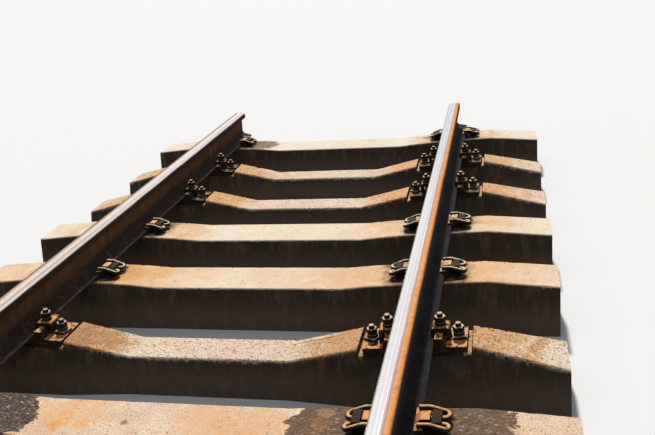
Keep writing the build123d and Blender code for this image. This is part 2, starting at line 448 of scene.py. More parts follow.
class Surface(Graph):
    """Builds one node material."""

    def __init__(self, name: str) -> None:
        """Start a material of this name with its shader and output.

        Args:
            name: name of the material.
        """
        self.material = bpy.data.materials.new(name)
        self.material.use_nodes = True
        super().__init__(self.material.node_tree)
        self.shader = self.node("ShaderNodeBsdfPrincipled", {})
        self.node("ShaderNodeOutputMaterial", {"Surface": Signal(self, self.shader.outputs[0])})
        self.place = self.out("ShaderNodeTexCoord", {}, "Object")

    def stretch(self, scale: Colour) -> Signal:
        """The place, scaled along each axis."""
        return self.out("ShaderNodeMapping", {"Vector": self.place, "Scale": scale})

    def moved(self, place: Signal, step: Signal | Colour) -> Signal:
        """A place, moved by a step."""
        return self.out("ShaderNodeVectorMath", {0: place, 1: step}, operation="ADD")

    def noise(self, scale: float, detail: float = 4.0, rough: float = 0.55, warp: float = 0.0,
              place: Signal | None = None) -> Signal:
        """Fractal pattern between 0 and 1.

        Args:
            scale: its fineness.
            detail: number of its finer layers.
            rough: strength of the finer layers.
            warp: how far it is distorted.
            place: where it is read, unless at the surface's own place.

        Returns:
            The pattern.
        """
        inputs = {"Vector": place or self.place, "Scale": scale, "Detail": detail,
                  "Roughness": rough, "Distortion": warp}
        return self.out("ShaderNodeTexNoise", inputs, "Fac")

    def cells(self, scale: float, place: Signal | None = None) -> tuple[Signal, Signal]:
        """Distance from the nearest of many scattered points, and that point's random colour."""
        made = self.node("ShaderNodeTexVoronoi", {"Vector": place or self.place, "Scale": scale})
        return Signal(self, made.outputs["Distance"]), Signal(self, made.outputs["Color"])

    def bent_cells(self, scale: float, bend: float = 0.9,
                   place: Signal | None = None) -> tuple[Signal, Signal]:
        """The same for cells with uneven outlines, which bend more or less.

        Args:
            scale: fineness of the cells.
            bend: how far they bend.
            place: where they are read, unless at the surface's own place.

        Returns:
            Distance from the nearest point, and that point's random colour.
        """
        place = place or self.place
        drift = self.out("ShaderNodeTexNoise", {"Vector": place, "Scale": scale * 1.4}, "Color")
        step = self.out("ShaderNodeVectorMath", {0: drift, 3: bend / scale}, operation="SCALE")
        return self.cells(scale, self.moved(place, step))

    def mix(self, share: Signal | float, one: Signal | Colour, other: Signal | Colour) -> Signal:
        """Blend two colours."""
        return self.out("ShaderNodeMix", {0: share, 6: one, 7: other}, 2, data_type="RGBA")

    def ramp(self, value: Signal, stops: Sequence[tuple[float, Colour]]) -> Signal:
        """Colour of a value between 0 and 1, from stops in rising order.

        Args:
            value: the value.
            stops: place and colour of each stop.

        Returns:
            The colour.
        """
        made = self.node("ShaderNodeValToRGB", {0: value})
        elements = made.color_ramp.elements
        while len(elements) < len(stops):
            elements.new(1.0)
        for element, (position, colour) in zip(elements, stops):
            element.position = position
            element.color = (*colour, 1.0)
        return Signal(self, made.outputs[0])

    def tone(self, colour: Signal | Colour, value: Signal) -> Signal:
        """A colour, made brighter or darker by a factor."""
        return self.out("ShaderNodeHueSaturation", {"Color": colour, "Value": value})

    def split(self, vector: Signal) -> list[Signal]:
        """The three parts of a vector or colour."""
        parts = self.node("ShaderNodeSeparateXYZ", {0: vector}).outputs
        return [Signal(self, part) for part in parts]

    def facing_up(self) -> Signal:
        """How far the surface faces upwards, from -1 to 1."""
        return self.split(self.out("ShaderNodeNewGeometry", {}, "Normal"))[2]

    def bump(self, height: Signal, distance: float, under: Signal | None = None) -> Signal:
        """Relief of a height of 0 to 1 over a distance in metres, on top of another relief.

        Args:
            height: the height.
            distance: what a height of 1 is in metres.
            under: the relief that it lies on.

        Returns:
            The relief.
        """
        inputs = {"Height": height, "Distance": distance, "Strength": 1.0}
        if under is not None:
            inputs["Normal"] = under
        return self.out("ShaderNodeBump", inputs)

    def done(self, **sockets: Value) -> Material:
        """Feed the shader, whose inputs are named with _ for a space, and return the material.

        Args:
            sockets: value or signal for each of the shader's inputs.

        Returns:
            The material.
        """
        for key, value in sockets.items():
            self.feed(self.shader.inputs[key.replace("_", " ")], value)
        return self.material


PEBBLE_COLOURS: tuple[tuple[float, Colour], ...] = (
    (0.0, (0.34, 0.2, 0.13)), (0.3, (0.8, 0.45, 0.24)), (0.55, (0.85, 0.62, 0.46)),
    (0.8, (0.8, 0.5, 0.4)), (1.0, (0.96, 0.88, 0.76)))
CRUST_COLOURS: tuple[tuple[float, Colour], ...] = (
    (0.0, (0.24, 0.13, 0.07)), (0.25, (0.5, 0.32, 0.21)), (0.45, (0.34, 0.31, 0.32)),
    (0.65, (0.62, 0.46, 0.38)), (0.82, (0.3, 0.21, 0.17)), (1.0, (0.85, 0.72, 0.62)))


@dataclass(frozen=True)
class Blot:
    """A stain or dirt patch on a sleeper's top.

    Attributes:
        x: place across the track.
        y: place from the sleeper's middle, along the track.
        size: rough radius across the track.
        colour: its colour.
        strength: how much it covers.
        stretch: length along the track over length across it.
        ragged: how far its edge wanders.
        soft: width of its fading edge.
        turn: its turn from the sleeper's length, in degrees.
        clumps: how lumpy it looks.
        caked: whether it is a crust of dirt with grit in it.
        sway: how far it bends from side to side.
    """

    x: float
    y: float
    size: float
    colour: Colour
    strength: float = 0.8
    stretch: float = 1.0
    ragged: float = 0.03
    soft: float = 0.03
    turn: float = 0.0
    clumps: float = 0.35
    caked: bool = False
    sway: float = 0.0


@dataclass(frozen=True)
class ConcreteFinish:
    """Concrete, stained by rust near the rails.

    Attributes:
        light: colour of clean places.
        shade: colour of duller places.
        stain: colour of the rust near the rails.
        flank: colour of the sides, which stay damp, darkened as painted shade; the small holes
        take it too as painted shade.
        streak: colour of the pale streaks on them.
        grime: colour of the dirt round the fastenings.
        stain_start: how far from a rail's axis the rust begins to fade.
        stain_reach: over how far it fades.
        stain_strength: how much the rust covers beside the rails.
        grime_reach: how far from a rail's axis the dirt goes.
        grain: height of the fine relief.
        pocks: share of the surface with small holes.
        pock_scale: fineness of the small holes.
        pock_depth: their depth.
        crust_height: height of the caked dirt.
        grit: fineness of the pebbles cast into the concrete.
        grit_tone: brightness of the darkest and of the palest pebbles.
        pebble_share: share of the pebbles that show.
        foot_dust: colour of the dust at the foot of the sides.
        soot_and_shade: colour of the black dirt under the fastenings, which is also their painted
            shadow.
        soot_and_shade_place: how far from a rail's axis that dirt and painted shadow lie.
        soot_and_shade_size: their half size across and along the track.
        bloom: colour of the pale lime bloom.
        bloom_share: how much the bloom covers.
        pebble_hue: how far the pebbles keep colours of their own.
        sand: how much the brightness varies from grain to grain.
        speckle: how strongly dark spots break up the rust.
    """

    light: Colour
    shade: Colour
    stain: Colour
    flank: Colour = (0.075, 0.055, 0.04)
    streak: Colour = (0.17, 0.115, 0.075)
    grime: Colour = (0.11, 0.07, 0.045)
    stain_start: float = 0.1
    stain_reach: float = 0.45
    stain_strength: float = 0.75
    grime_reach: float = 0.16
    grain: float = 0.35 * MM
    pocks: float = 0.09
    pock_scale: float = 95
    pock_depth: float = 2.2 * MM
    crust_height: float = 7 * MM
    grit: float = 120
    grit_tone: Point = (0.86, 1.08)
    pebble_share: float = 0.3
    foot_dust: Colour = (0.24, 0.185, 0.14)
    soot_and_shade: Colour = (0.016, 0.011, 0.008)
    soot_and_shade_place: float = 0.108
    soot_and_shade_size: Point = (0.05, 0.074)
    bloom: Colour = (0.98, 0.92, 0.81)
    bloom_share: float = 0.5
    pebble_hue: float = 0.2
    sand: float = 0.17
    speckle: float = 0.12

    def build(self, name: str, middle_y: float, blots: Sequence[Blot]) -> Material:
        """Build the material for one sleeper.

        Args:
            name: name of the material.
            middle_y: the sleeper's place along the track.
            blots: its stains and dirt patches.

        Returns:
            The material.
        """
        g = Surface(name)
        x, y, z = g.split(g.place)
        gap = abs(abs(x) - TRACK.foot_x)
        from_middle = y - middle_y
        mottle = g.noise(34, 6, 0.62, 0.3)
        top = g.facing_up().span(0.35, 0.55)
        colour, inside = self.pebbles(g, self.cast_face(g, gap, mottle))
        grains = g.noise(210, 4, 0.75).span(0.3, 0.7, 1 - self.sand * 1.3, 1 + self.sand)
        colour = g.tone(colour, grains)
        colour, heap = self.soiled(g, colour, (x, from_middle), top, blots)
        # Painted shadow under the fastenings, partly black dirt.
        colour = g.mix(self.under_fastenings(g, gap, from_middle), colour, self.soot_and_shade)
        # Painted shade: faces that don't look up take the dark flank colour, partly damp.
        colour = g.mix(top, self.sides(g, z, mottle), colour)
        holes = self.holes(g)
        # Painted shade in the small holes.
        colour = g.mix(holes * 0.85, colour, self.flank)
        relief = g.bump(g.noise(420, 5, 0.65), self.grain)
        relief = g.bump(mottle, self.grain * 4, relief)
        relief = g.bump(inside, self.grain * 0.7, relief)
        relief = g.bump(1.0 - holes, self.pock_depth, relief)
        if heap is not None:
            relief = g.bump(heap, self.crust_height, relief)
        return g.done(Base_Color=colour, Roughness=0.9, Normal=relief, Specular_IOR_Level=0.15)

    def cast_face(self, g: Surface, gap: Signal, mottle: Signal) -> Signal:
        """Colour of the cast face, with rust and dirt near the rails.

        Args:
            g: the material's graph.
            gap: distance from the nearer rail's axis.
            mottle: the pattern of soft spots.

        Returns:
            The colour.
        """
        colour = g.mix(g.noise(3.1, 5, 0.6, 0.6).span(0.35, 0.66), self.light, self.shade)
        colour = g.mix(mottle.span(0.44, 0.74, 0.0, 0.6), colour, self.shade)
        lime = g.noise(7, 6, 0.72, 1.4).span(0.5, 0.68, 0.0, self.bloom_share)
        colour = g.mix(lime, colour, self.bloom)
        wander = (g.noise(8, 6, 0.65, 0.9) - 0.5) * 0.9
        rust = (gap + wander).span(self.stain_start, self.stain_start + self.stain_reach,
                                   self.stain_strength, 0.0)
        colour = g.mix(rust, colour, self.stain)
        spots = g.noise(75, 6, 0.72, 0.8).span(0.5, 0.62, 0.0, self.speckle)
        colour = g.mix(rust * spots, colour, self.grime)
        stains = g.noise(15, 6, 0.7, 0.5).span(0.6, 0.74, 0.0, 0.5)
        colour = g.mix(stains, colour, self.stain)
        dirty = (gap + wander * 0.3).span(self.grime_reach, self.grime_reach + 0.05, 0.75, 0.0)
        return g.mix(dirty * mottle.span(0.3, 0.6, 0.4, 1.0), colour, self.grime)

    def pebbles(self, g: Surface, colour: Signal) -> tuple[Signal, Signal]:
        """Show pebbles of several colours in the surface.

        Args:
            g: the material's graph.
            colour: colour of the surface without them.

        Returns:
            The colour with them, and their mask.
        """
        distance, colours = g.bent_cells(self.grit)
        red, green, blue = g.split(colours)
        shown = g.math("GREATER_THAN", green, 1 - self.pebble_share)
        inside = (distance + red.span(0.0, 1.0, 0.0, 0.2)).span(0.28, 0.52, 1.0, 0.0) * shown
        low, high = self.grit_tone
        tone = 1.0 + inside * red.span(0.0, 1.0, low - 1, high - 1)
        own = g.ramp(blue, PEBBLE_COLOURS)
        return g.tone(g.mix(inside * self.pebble_hue, colour, own), tone), inside

    def soiled(self, g: Surface, colour: Signal, at: tuple[Signal, Signal], top: Signal,
               blots: Sequence[Blot]) -> tuple[Signal, Signal | None]:
        """Lay the stains and dirt patches over the surface.

        Args:
            g: the material's graph.
            colour: colour of the surface without them.
            at: the place across the track and from the sleeper's middle.
            top: share by which the surface faces up.
            blots: the stains and dirt patches.

        Returns:
            The colour with them, and the height of the caked dirt, if there is any.
        """
        clumps = g.noise(75, 6, 0.75, 0.6).span(0.34, 0.66, 0.6, 1.35)
        grit, crust = self.crust(g) if any(blot.caked for blot in blots) else (None, None)
        caked = None
        for blot in blots:
            cover = self.cover(g, at, blot)
            if blot.caked:
                dirt = g.mix(blot.clumps, grit, blot.colour)
                caked = cover if caked is None else g.math("MAXIMUM", caked, cover)
            else:
                dirt = g.tone(blot.colour, 1.0 + (clumps - 1.0) * blot.clumps)
            colour = g.mix(cover, colour, dirt)
        return colour, None if caked is None else caked * top * crust

    @staticmethod
    def cover(g: Surface, at: tuple[Signal, Signal], blot: Blot) -> Signal:
        """Share of the surface that a blot covers.

        Args:
            g: the material's graph.
            at: the place across the track and from the sleeper's middle.
            blot: the blot.

        Returns:
            The share.
        """
        angle = math.radians(blot.turn)
        dx = at[0] - blot.x
        dy = at[1] - blot.y
        if blot.sway:
            dy = dy + (g.noise(22, 4, 0.6) - 0.5) * blot.sway
        length = blot.size * blot.stretch
        across = dx * (math.cos(angle) / blot.size) + dy * (math.sin(angle) / blot.size)
        along = dx * (-math.sin(angle) / length) + dy * (math.cos(angle) / length)
        away = g.math("SQRT", across * across + along * along)
        wander = (g.noise(16, 6, 0.68, 0.5) - 0.5) * (6 * blot.ragged / blot.size)
        half = blot.soft / blot.size / 2
        return (away + wander).span(1 - half, 1 + half, blot.strength, 0.0)

    @staticmethod
    def crust(g: Surface) -> tuple[Signal, Signal]:
        """Colour and height of caked dirt with grit in it.

        Args:
            g: the material's graph.

        Returns:
            The colour, with painted shade in the gaps between the grit, and the height.
        """
        distance, colours = g.bent_cells(90, 1.6, g.stretch((0.75, 1.25, 1)))
        chance, other, _ = g.split(colours)
        body = distance.span(0.1, 0.62, 1.0, 0.0)
        ridges = g.noise(55, 6, 0.75, 1.5, g.stretch((0.7, 1.3, 1))).span(0.34, 0.66, 0.25, 1.35)
        # Painted shade: the gaps between the grit are darker.
        light = 0.25 + body * other.span(0.0, 1.0, 0.5, 1.75)
        return g.tone(g.ramp(chance, CRUST_COLOURS), light * ridges), body * 0.4 + ridges * 0.45

    def under_fastenings(self, g: Surface, gap: Signal, from_middle: Signal) -> Signal:
        """Share of black dirt that has gathered under the fastenings.

        Args:
            g: the material's graph.
            gap: distance from the nearer rail's axis.
            from_middle: place from the sleeper's middle.

        Returns:
            The share of black dirt, which is also painted shadow.
        """
        across = abs(gap - self.soot_and_shade_place) - self.soot_and_shade_size[0]
        far = g.math("MAXIMUM", across, abs(from_middle) - self.soot_and_shade_size[1])
        wander = (g.noise(30, 6, 0.7, 0.5) - 0.5) * 0.07
        return (far + wander).span(-0.004, 0.012, 0.95, 0.0)

    def sides(self, g: Surface, z: Signal, mottle: Signal) -> Signal:
        """Colour of the sides, with pale streaks and with dust low down.

        Args:
            g: the material's graph.
            z: the height.
            mottle: the pattern of soft spots.

        Returns:
            The colour, damp and darkened as painted shade.
        """
        streak = g.noise(1, 5, 0.62, 0.4, g.stretch((22, 22, 2.2)))
        side = g.mix(streak.span(0.46, 0.68), self.flank, self.streak)
        side = g.mix(mottle.span(0.4, 0.7, 0.0, 0.5), side, self.flank)
        depth = z + (streak - 0.5) * 0.16
        return g.mix(depth.span(0.04, 0.15, 0.55, 0.0), side, self.foot_dust)

    def holes(self, g: Surface) -> Signal:
        """Mask of the small holes that air bubbles leave in cast concrete.

        Args:
            g: the material's graph.

        Returns:
            The mask.
        """
        distance, colours = g.cells(self.pock_scale, g.moved(g.place, (0.31, 0.17, 0.05)))
        size = g.split(colours)[1].span(1 - self.pocks, 1.0, 0.0, 0.3)
        return g.math("LESS_THAN", distance, size)


@dataclass(frozen=True)
class RustFinish:
    """Rusty iron or steel.

    Attributes:
        deep: colour of old rust, kept near black as painted shade.
        fresh: colour of orange rust, darkened as painted shade.
        dust: colour of the dust on faces that look up, made pale there as a painted highlight.
        dust_and_highlight_share: how much of them the dust and painted highlight cover.
        pits: height of the pitting.
        scale: fineness of the rust's pattern.
        dust_and_highlight_from: how far a face must look up to carry the dust and painted
            highlight, from 0 to 1.
        left_dust_and_highlight: share of the dust and painted highlight that lies on fastenings
            of the left rail.
        patches: values of the pattern from which the dust and painted highlight begin and are
            full.
        roughness: how dull the surface is.
        gloss: how much it shines in spite of that.
    """

    deep: Colour
    fresh: Colour
    dust: Colour
    dust_and_highlight_share: float
    pits: float
    scale: float = 60.0
    dust_and_highlight_from: float = 0.5
    left_dust_and_highlight: float = 1.0
    patches: Point = (0.24, 0.54)
    roughness: float = 0.8
    gloss: float = 0.15

    def build(self, name: str) -> Material:
        """Build the material.

        Args:
            name: name of the material.

        Returns:
            The material.
        """
        g = Surface(name)
        broad = g.noise(self.scale * 0.25, 5, 0.6, 0.5)
        mottle = g.noise(self.scale, 7, 0.65, 0.4)
        fine = g.noise(self.scale * 9, 4, 0.6)
        colour = g.mix(broad.span(0.38, 0.64), self.deep, self.fresh)
        colour = g.mix(mottle.span(0.45, 0.7, 0.0, 0.7), colour, self.deep)
        # Painted light and shade: faces that look up take the pale dust colour as a painted
        # highlight, partly real dust, and the rest keeps the near-black rust as painted shade.
        up = g.facing_up().span(self.dust_and_highlight_from, 0.96, 0.0, self.dust_and_highlight_share)
        side = g.split(g.place)[0].span(-0.1, 0.1, self.left_dust_and_highlight, 1.0)
        colour = g.mix(up * (side * mottle.span(*self.patches)), colour, self.dust)
        relief = g.bump(fine, self.pits, g.bump(mottle, self.pits * 2))
        rough = fine.span(0.3, 0.7, self.roughness - 0.12, self.roughness + 0.08)
        return g.done(Base_Color=colour, Roughness=rough, Specular_IOR_Level=self.gloss,
                      Normal=relief)


@dataclass(frozen=True)
class RubberFinish:
    """Dusty black rubber of the pads under the rails.

    Attributes:
        black: colour of the rubber.
        dust: colour of the dust on it.
    """

    black: Colour = (0.018, 0.017, 0.016)
    dust: Colour = (0.12, 0.085, 0.06)

    def build(self, name: str) -> Material:
        """Build the material.

        Args:
            name: name of the material.

        Returns:
            The material.
        """
        g = Surface(name)
        powder = g.noise(70, 6, 0.7, 0.3).span(0.42, 0.66, 0.1, 0.75)
        colour = g.mix(powder, self.black, self.dust)
        relief = g.bump(g.noise(500, 3), 0.2 * MM)
        return g.done(Base_Color=colour, Roughness=0.88, Normal=relief, Specular_IOR_Level=0.2)


@dataclass(frozen=True)
class Band:
    """A line of colour along a rail's head.

    Attributes:
        out: place from the rail's axis, out of the track.
        colour: its colour.
        shine: how much bare steel shows.
    """

    out: float
    colour: Colour
    shine: float


@dataclass(frozen=True)
class RailFinish:
    """Rusty rail with bright bands where wheels run.

    Attributes:
        bands: colours across the head, from its gauge side outwards.
        head_side: colour of the head's sides.
        web: colour of old rust on the web.
        web_rust: colour of the rust that runs down it.
        foot: colour of the foot.
        far_reflection: colour that the running surface takes towards the far end, a painted
            reflection that grows where the surface is seen at a flatter angle.
        far_reflection_from: place along the track where that begins.
        far_reflection_full: place along the track where it is at its strongest.
        crown_start: height from which the bands begin to cover the head.
        crown_full: height from which they cover it fully.
        wander: how far the bands sway from side to side.
        ragged: how far their edges are uneven.
    """

    bands: tuple[Band, ...]
    head_side: Colour = (0.062, 0.03, 0.017)
    web: Colour = (0.12, 0.066, 0.034)
    web_rust: Colour = (0.29, 0.13, 0.055)
    foot: Colour = (0.034, 0.028, 0.026)
    far_reflection: Colour = (0.84, 0.8, 0.8)
    far_reflection_from: float = -1.2
    far_reflection_full: float = 0.9
    crown_start: float = TRACK.rail.height - 11 * MM
    crown_full: float = TRACK.rail.height - 7 * MM
    wander: float = 7 * MM
    ragged: float = 5 * MM

    def stops(self, values: Callable[[Band], Colour]) -> list[tuple[float, Colour]]:
        """Stops of a colour ramp from one side of the head to the other."""
        width = TRACK.rail.head_width
        return [(band.out / width + 0.5, values(band)) for band in self.bands]

    def build(self, name: str, side: Side) -> Material:
        """Build the material of one rail.

        Args:
            name: name of the material.
            side: the rail's side.

        Returns:
            The material.
        """
        g = Surface(name)
        out, along, up = g.split(self.rail_place(g, side))
        mottle = g.noise(55, 7, 0.66, 0.4)
        top = up.span(self.crown_start, self.crown_full)
        crown, shine = self.crown(g, out, along, mottle)
        colour = g.mix(top, self.flanks(g, up, mottle), crown)
        bare = top * shine.span(0.55, 0.95)
        rubbed = top * shine.span(0.1, 0.3)
        rough = 0.85 - (bare * 0.36 + rubbed * 0.38)
        dull = 1.0 - bare * 0.97
        relief = g.bump(mottle * dull, 0.9 * MM)
        relief = g.bump(g.noise(620, 4, 0.6) * dull, 0.35 * MM, relief)
        return g.done(Base_Color=colour, Roughness=rough, Metallic=bare * 0.9, Normal=relief,
                      Specular_IOR_Level=0.12)

    @staticmethod
    def rail_place(g: Surface, side: Side) -> Signal:
        """The place in the rail's own frame, with x out of the track.

        Args:
            g: the material's graph.
            side: the rail's side.

        Returns:
            The place.
        """
        turned = Matrix.Rotation(TRACK.cant, 3, "Y") @ Matrix.Diagonal((side.value, 1, 1))
        shift = -(turned @ Vector((side.value * TRACK.foot_x, 0, TRACK.foot_z)))
        inputs = {"Vector": g.place, "Scale": (side.value, 1, 1), "Rotation": (0, TRACK.cant, 0),
                  "Location": tuple(shift)}
        return g.out("ShaderNodeMapping", inputs)

    def flanks(self, g: Surface, up: Signal, mottle: Signal) -> Signal:
        """Colour of the foot, the web and the head's sides.

        Args:
            g: the material's graph.
            up: height in the rail's frame.
            mottle: the pattern of soft spots.

        Returns:
            The colour.
        """
        streaks = g.noise(1, 5, 0.6, 0.4, g.stretch((30, 22, 3)))
        broad = g.noise(5, 5, 0.6, 0.5)
        colour = g.mix(streaks.span(0.38, 0.72, 0.1, 0.9), self.web, self.web_rust)
        colour = g.mix(broad.span(0.4, 0.66, 0.0, 0.75), colour, self.web)
        colour = g.mix(mottle.span(0.45, 0.72, 0.0, 0.6), colour, self.web)
        low = up + (broad - 0.5) * 0.09
        colour = g.mix(low.span(0.03, 0.085, 0.9, 0.0), colour, self.foot)
        patches = g.noise(22, 6, 0.7, 0.5).span(0.5, 0.7, 0.0, 0.6)
        colour = g.mix(patches * up.span(0.02, 0.045, 1.0, 0.0), colour, self.web_rust)
        head = TRACK.rail.height - TRACK.rail.head_depth
        return g.mix(up.span(head - 4 * MM, head + 8 * MM), colour, self.head_side)

    def crown(self, g: Surface, out: Signal, along: Signal, mottle: Signal
              ) -> tuple[Signal, Signal]:
        """Colour and shine of the running surface, in bands along the rail.

        Args:
            g: the material's graph.
            out: place out of the track.
            along: place along it.
            mottle: the pattern of soft spots.

        Returns:
            The colour and the shine.
        """
        half = TRACK.rail.head_width / 2
        lines = g.noise(1, 5, 0.62, 0.1, g.stretch((700, 0.9, 700)))
        sway = (g.noise(2.6, 4) - 0.5) * self.wander
        drift = out + (sway + (lines - 0.5) * self.ragged)
        across = drift.span(-half, half, smooth=False)
        colour = g.ramp(across, self.stops(lambda band: band.colour))
        shine = g.ramp(across, self.stops(lambda band: (band.shine,) * 3))
        # Painted reflection: shiny bands take on a pale reflected colour further along the track.
        reflected = along.span(self.far_reflection_from, self.far_reflection_full, 0.0, 0.75) * shine.span(0.0, 0.3)
        colour = g.tone(g.mix(reflected, colour, self.far_reflection), lines.span(0.3, 0.7, 1.1, 0.86))
        spots = (1.0 - shine) * mottle.span(0.5, 0.74, 0.0, 0.45)
        return g.mix(spots, colour, self.web_rust), shine


@dataclass(frozen=True)
class FloorFinish:
    """Plain pale studio floor.

    Attributes:
        pale: colour that the camera sees.
        bounce: colour that lights the panel from below.
    """

    pale: Colour = (0.93, 0.935, 0.945)
    bounce: Colour = (0.2, 0.18, 0.16)

    def build(self, name: str) -> Material:
        """Build the material.

        Args:
            name: name of the material.

        Returns:
            The material.
        """
        g = Surface(name)
        seen = g.out("ShaderNodeLightPath", {}, "Is Camera Ray")
        return g.done(Base_Color=g.mix(seen, self.bounce, self.pale), Roughness=0.9,
                      Specular_IOR_Level=0.1)


# Pieces


def place(thing: Thing, node: str, slot: Slot, material: Material) -> None:
    """Dress a piece and let it stand for its CAD node.

    Args:
        thing: the piece.
        node: the CAD node.
        slot: its material slot; not used.
        material: the piece's finish.
    """
    thing.data.materials.clear()
    thing.data.materials.append(material)
    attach(thing, BODY)
    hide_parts(node)
    LOG.info("%s: %d faces for node %s", thing.name, len(thing.data.polygons), node)


def middle_of(node: str) -> float:
    """Place of a CAD node's middle along the track."""
    low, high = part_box(node)
    return (low.y + high.y) / 2


@dataclass(frozen=True)
class Piece(ABC):
    """A piece of the panel that stands for one CAD node.

    Attributes:
        node: the CAD node.
        slot: its material slot.
        material: the piece's finish.
    """

    node: str
    slot: Slot
    material: Material

    crease: ClassVar[float] = 40.0  # degrees by which an edge turns that stays crisp

    @cached_property
    def middle_y(self) -> float:
        """Place of the piece's middle along the track."""
        return middle_of(self.node)

    @abstractmethod
    def mesh(self) -> Mesh:
        """Build the piece's mesh."""

    def build(self) -> Thing:
        """Build the piece as an object of the scene."""
        return finish_mesh(self.mesh(), f"{self.node}_dressed", self.crease)

    def dress(self, thing: Thing) -> None:
        """Give the piece its finish."""
        place(thing, self.node, self.slot, self.material)


@dataclass(frozen=True)
class Rail(Piece):
    """One rail, with a fine section and eased edges.

    Attributes:
        side: the rail's side.
        sizes: its section.
        crown_end: share of the shoulder's radius that the running surface stops short of the side.
        lengths: stretches that the rail is swept in.
        crown_steps: chords in half of the running surface.
        shoulder_steps: chords in the arc between that and the head's side.
        foot_steps: chords in the arc of the foot's lower edge.
        round_steps: chords in each other arc.
    """

    side: Side
    sizes: RailSizes
    crown_end: float = 0.9
    lengths: int = 48
    crown_steps: int = 6
    shoulder_steps: int = 9
    foot_steps: int = 4
    round_steps: int = 7

    def section(self) -> list[Vector]:
        """Rounded outline of the section, in the rail's own frame.

        Returns:
            Its points, from the middle of the underside and round the right half.
        """
        s = self.sizes
        web = s.web_width / 2
        head = s.head_width / 2
        foot = s.foot_width / 2
        under = s.height - s.head_depth
        start = head - s.shoulder * self.crown_end
        crown = []
        for k in range(self.crown_steps + 1):
            x = start * (1 - k / self.crown_steps)
            crown.append((x, s.height - s.crown_ease - s.crown + math.sqrt(s.crown**2 - x * x)))
        drop = s.crown - math.sqrt(s.crown**2 - head**2)
        corners = [(foot, 0), (foot, s.foot_edge), (web, s.foot_top(web)), (web, under),
                   (head, under + (head - web) * s.head_slope), (head, s.height - drop)]
        radii = [s.edge_round, s.edge_round, s.web_fillet, s.web_fillet, s.edge_round, s.shoulder]
        first = rounded([(0, 0), *corners[:2]], [0, s.edge_round, 0], self.foot_steps)[1:-1]
        sides = rounded(corners, radii, self.round_steps)[1:-1]
        last = rounded([*corners[4:], crown[0]], [0, s.shoulder, 0], self.shoulder_steps)[1:-1]
        right = first + sides + last + [Vector(p) for p in crown[1:]]
        return right + [Vector((-p.x, p.y)) for p in reversed(right[:-1])]

    def mesh(self) -> Mesh:
        """Sweep the section along the track.

        Returns:
            The mesh.
        """
        low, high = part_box(self.node)
        outline = self.section()
        bm = bmesh.new()
        rings = []
        for k in range(self.lengths + 1):
            placing = TRACK.frame(self.side, low.y + (high.y - low.y) * k / self.lengths)
            rings.append([placing @ Vector((p.x, 0, p.y)) for p in outline])
        add_rings(bm, rings)
        return bm


@dataclass(frozen=True)
class SleeperSizes:
    """Form of a sleeper.

    Attributes:
        stations: place across the track, base width and height of each section of one half.
        side_slope: how much each side leans in for its height.
        chamfer: size of the eased upper edges.
        wear: how far the worn edges give way.
        rough: height of the unevenness.
        slice: distance between the mesh's sections.
    """

    stations: tuple[tuple[float, float, float], ...]
    side_slope: float
    chamfer: float
    wear: float
    rough: float
    slice: float = 13 * MM

    def at(self, x: float) -> tuple[float, float]:
        """Base width and height at a place across the track.

        Args:
            x: place across the track.

        Returns:
            The width and the height.
        """
        x = abs(x)
        first = self.stations[0]
        if x <= first[0]:
            return first[1], first[2]
        for one, other in zip(self.stations, self.stations[1:]):
            if x <= other[0] + NEAR:
                share = (x - one[0]) / (other[0] - one[0])
                return one[1] + (other[1] - one[1]) * share, one[2] + (other[2] - one[2]) * share
        return self.stations[-1][1], self.stations[-1][2]


@dataclass(frozen=True)
class Unevenness:
    """Pattern of heights in space.

    Attributes:
        scale: its fineness.
        fall: how fast its finer layers lose height.
        step: how much finer each layer is than the one before.
        layers: number of layers.
    """

    scale: float
    fall: float
    step: float
    layers: int

    def at(self, spot: Vector) -> float:
        """Height at a place."""
        return noise.fractal(spot * self.scale, self.fall, self.step, self.layers)


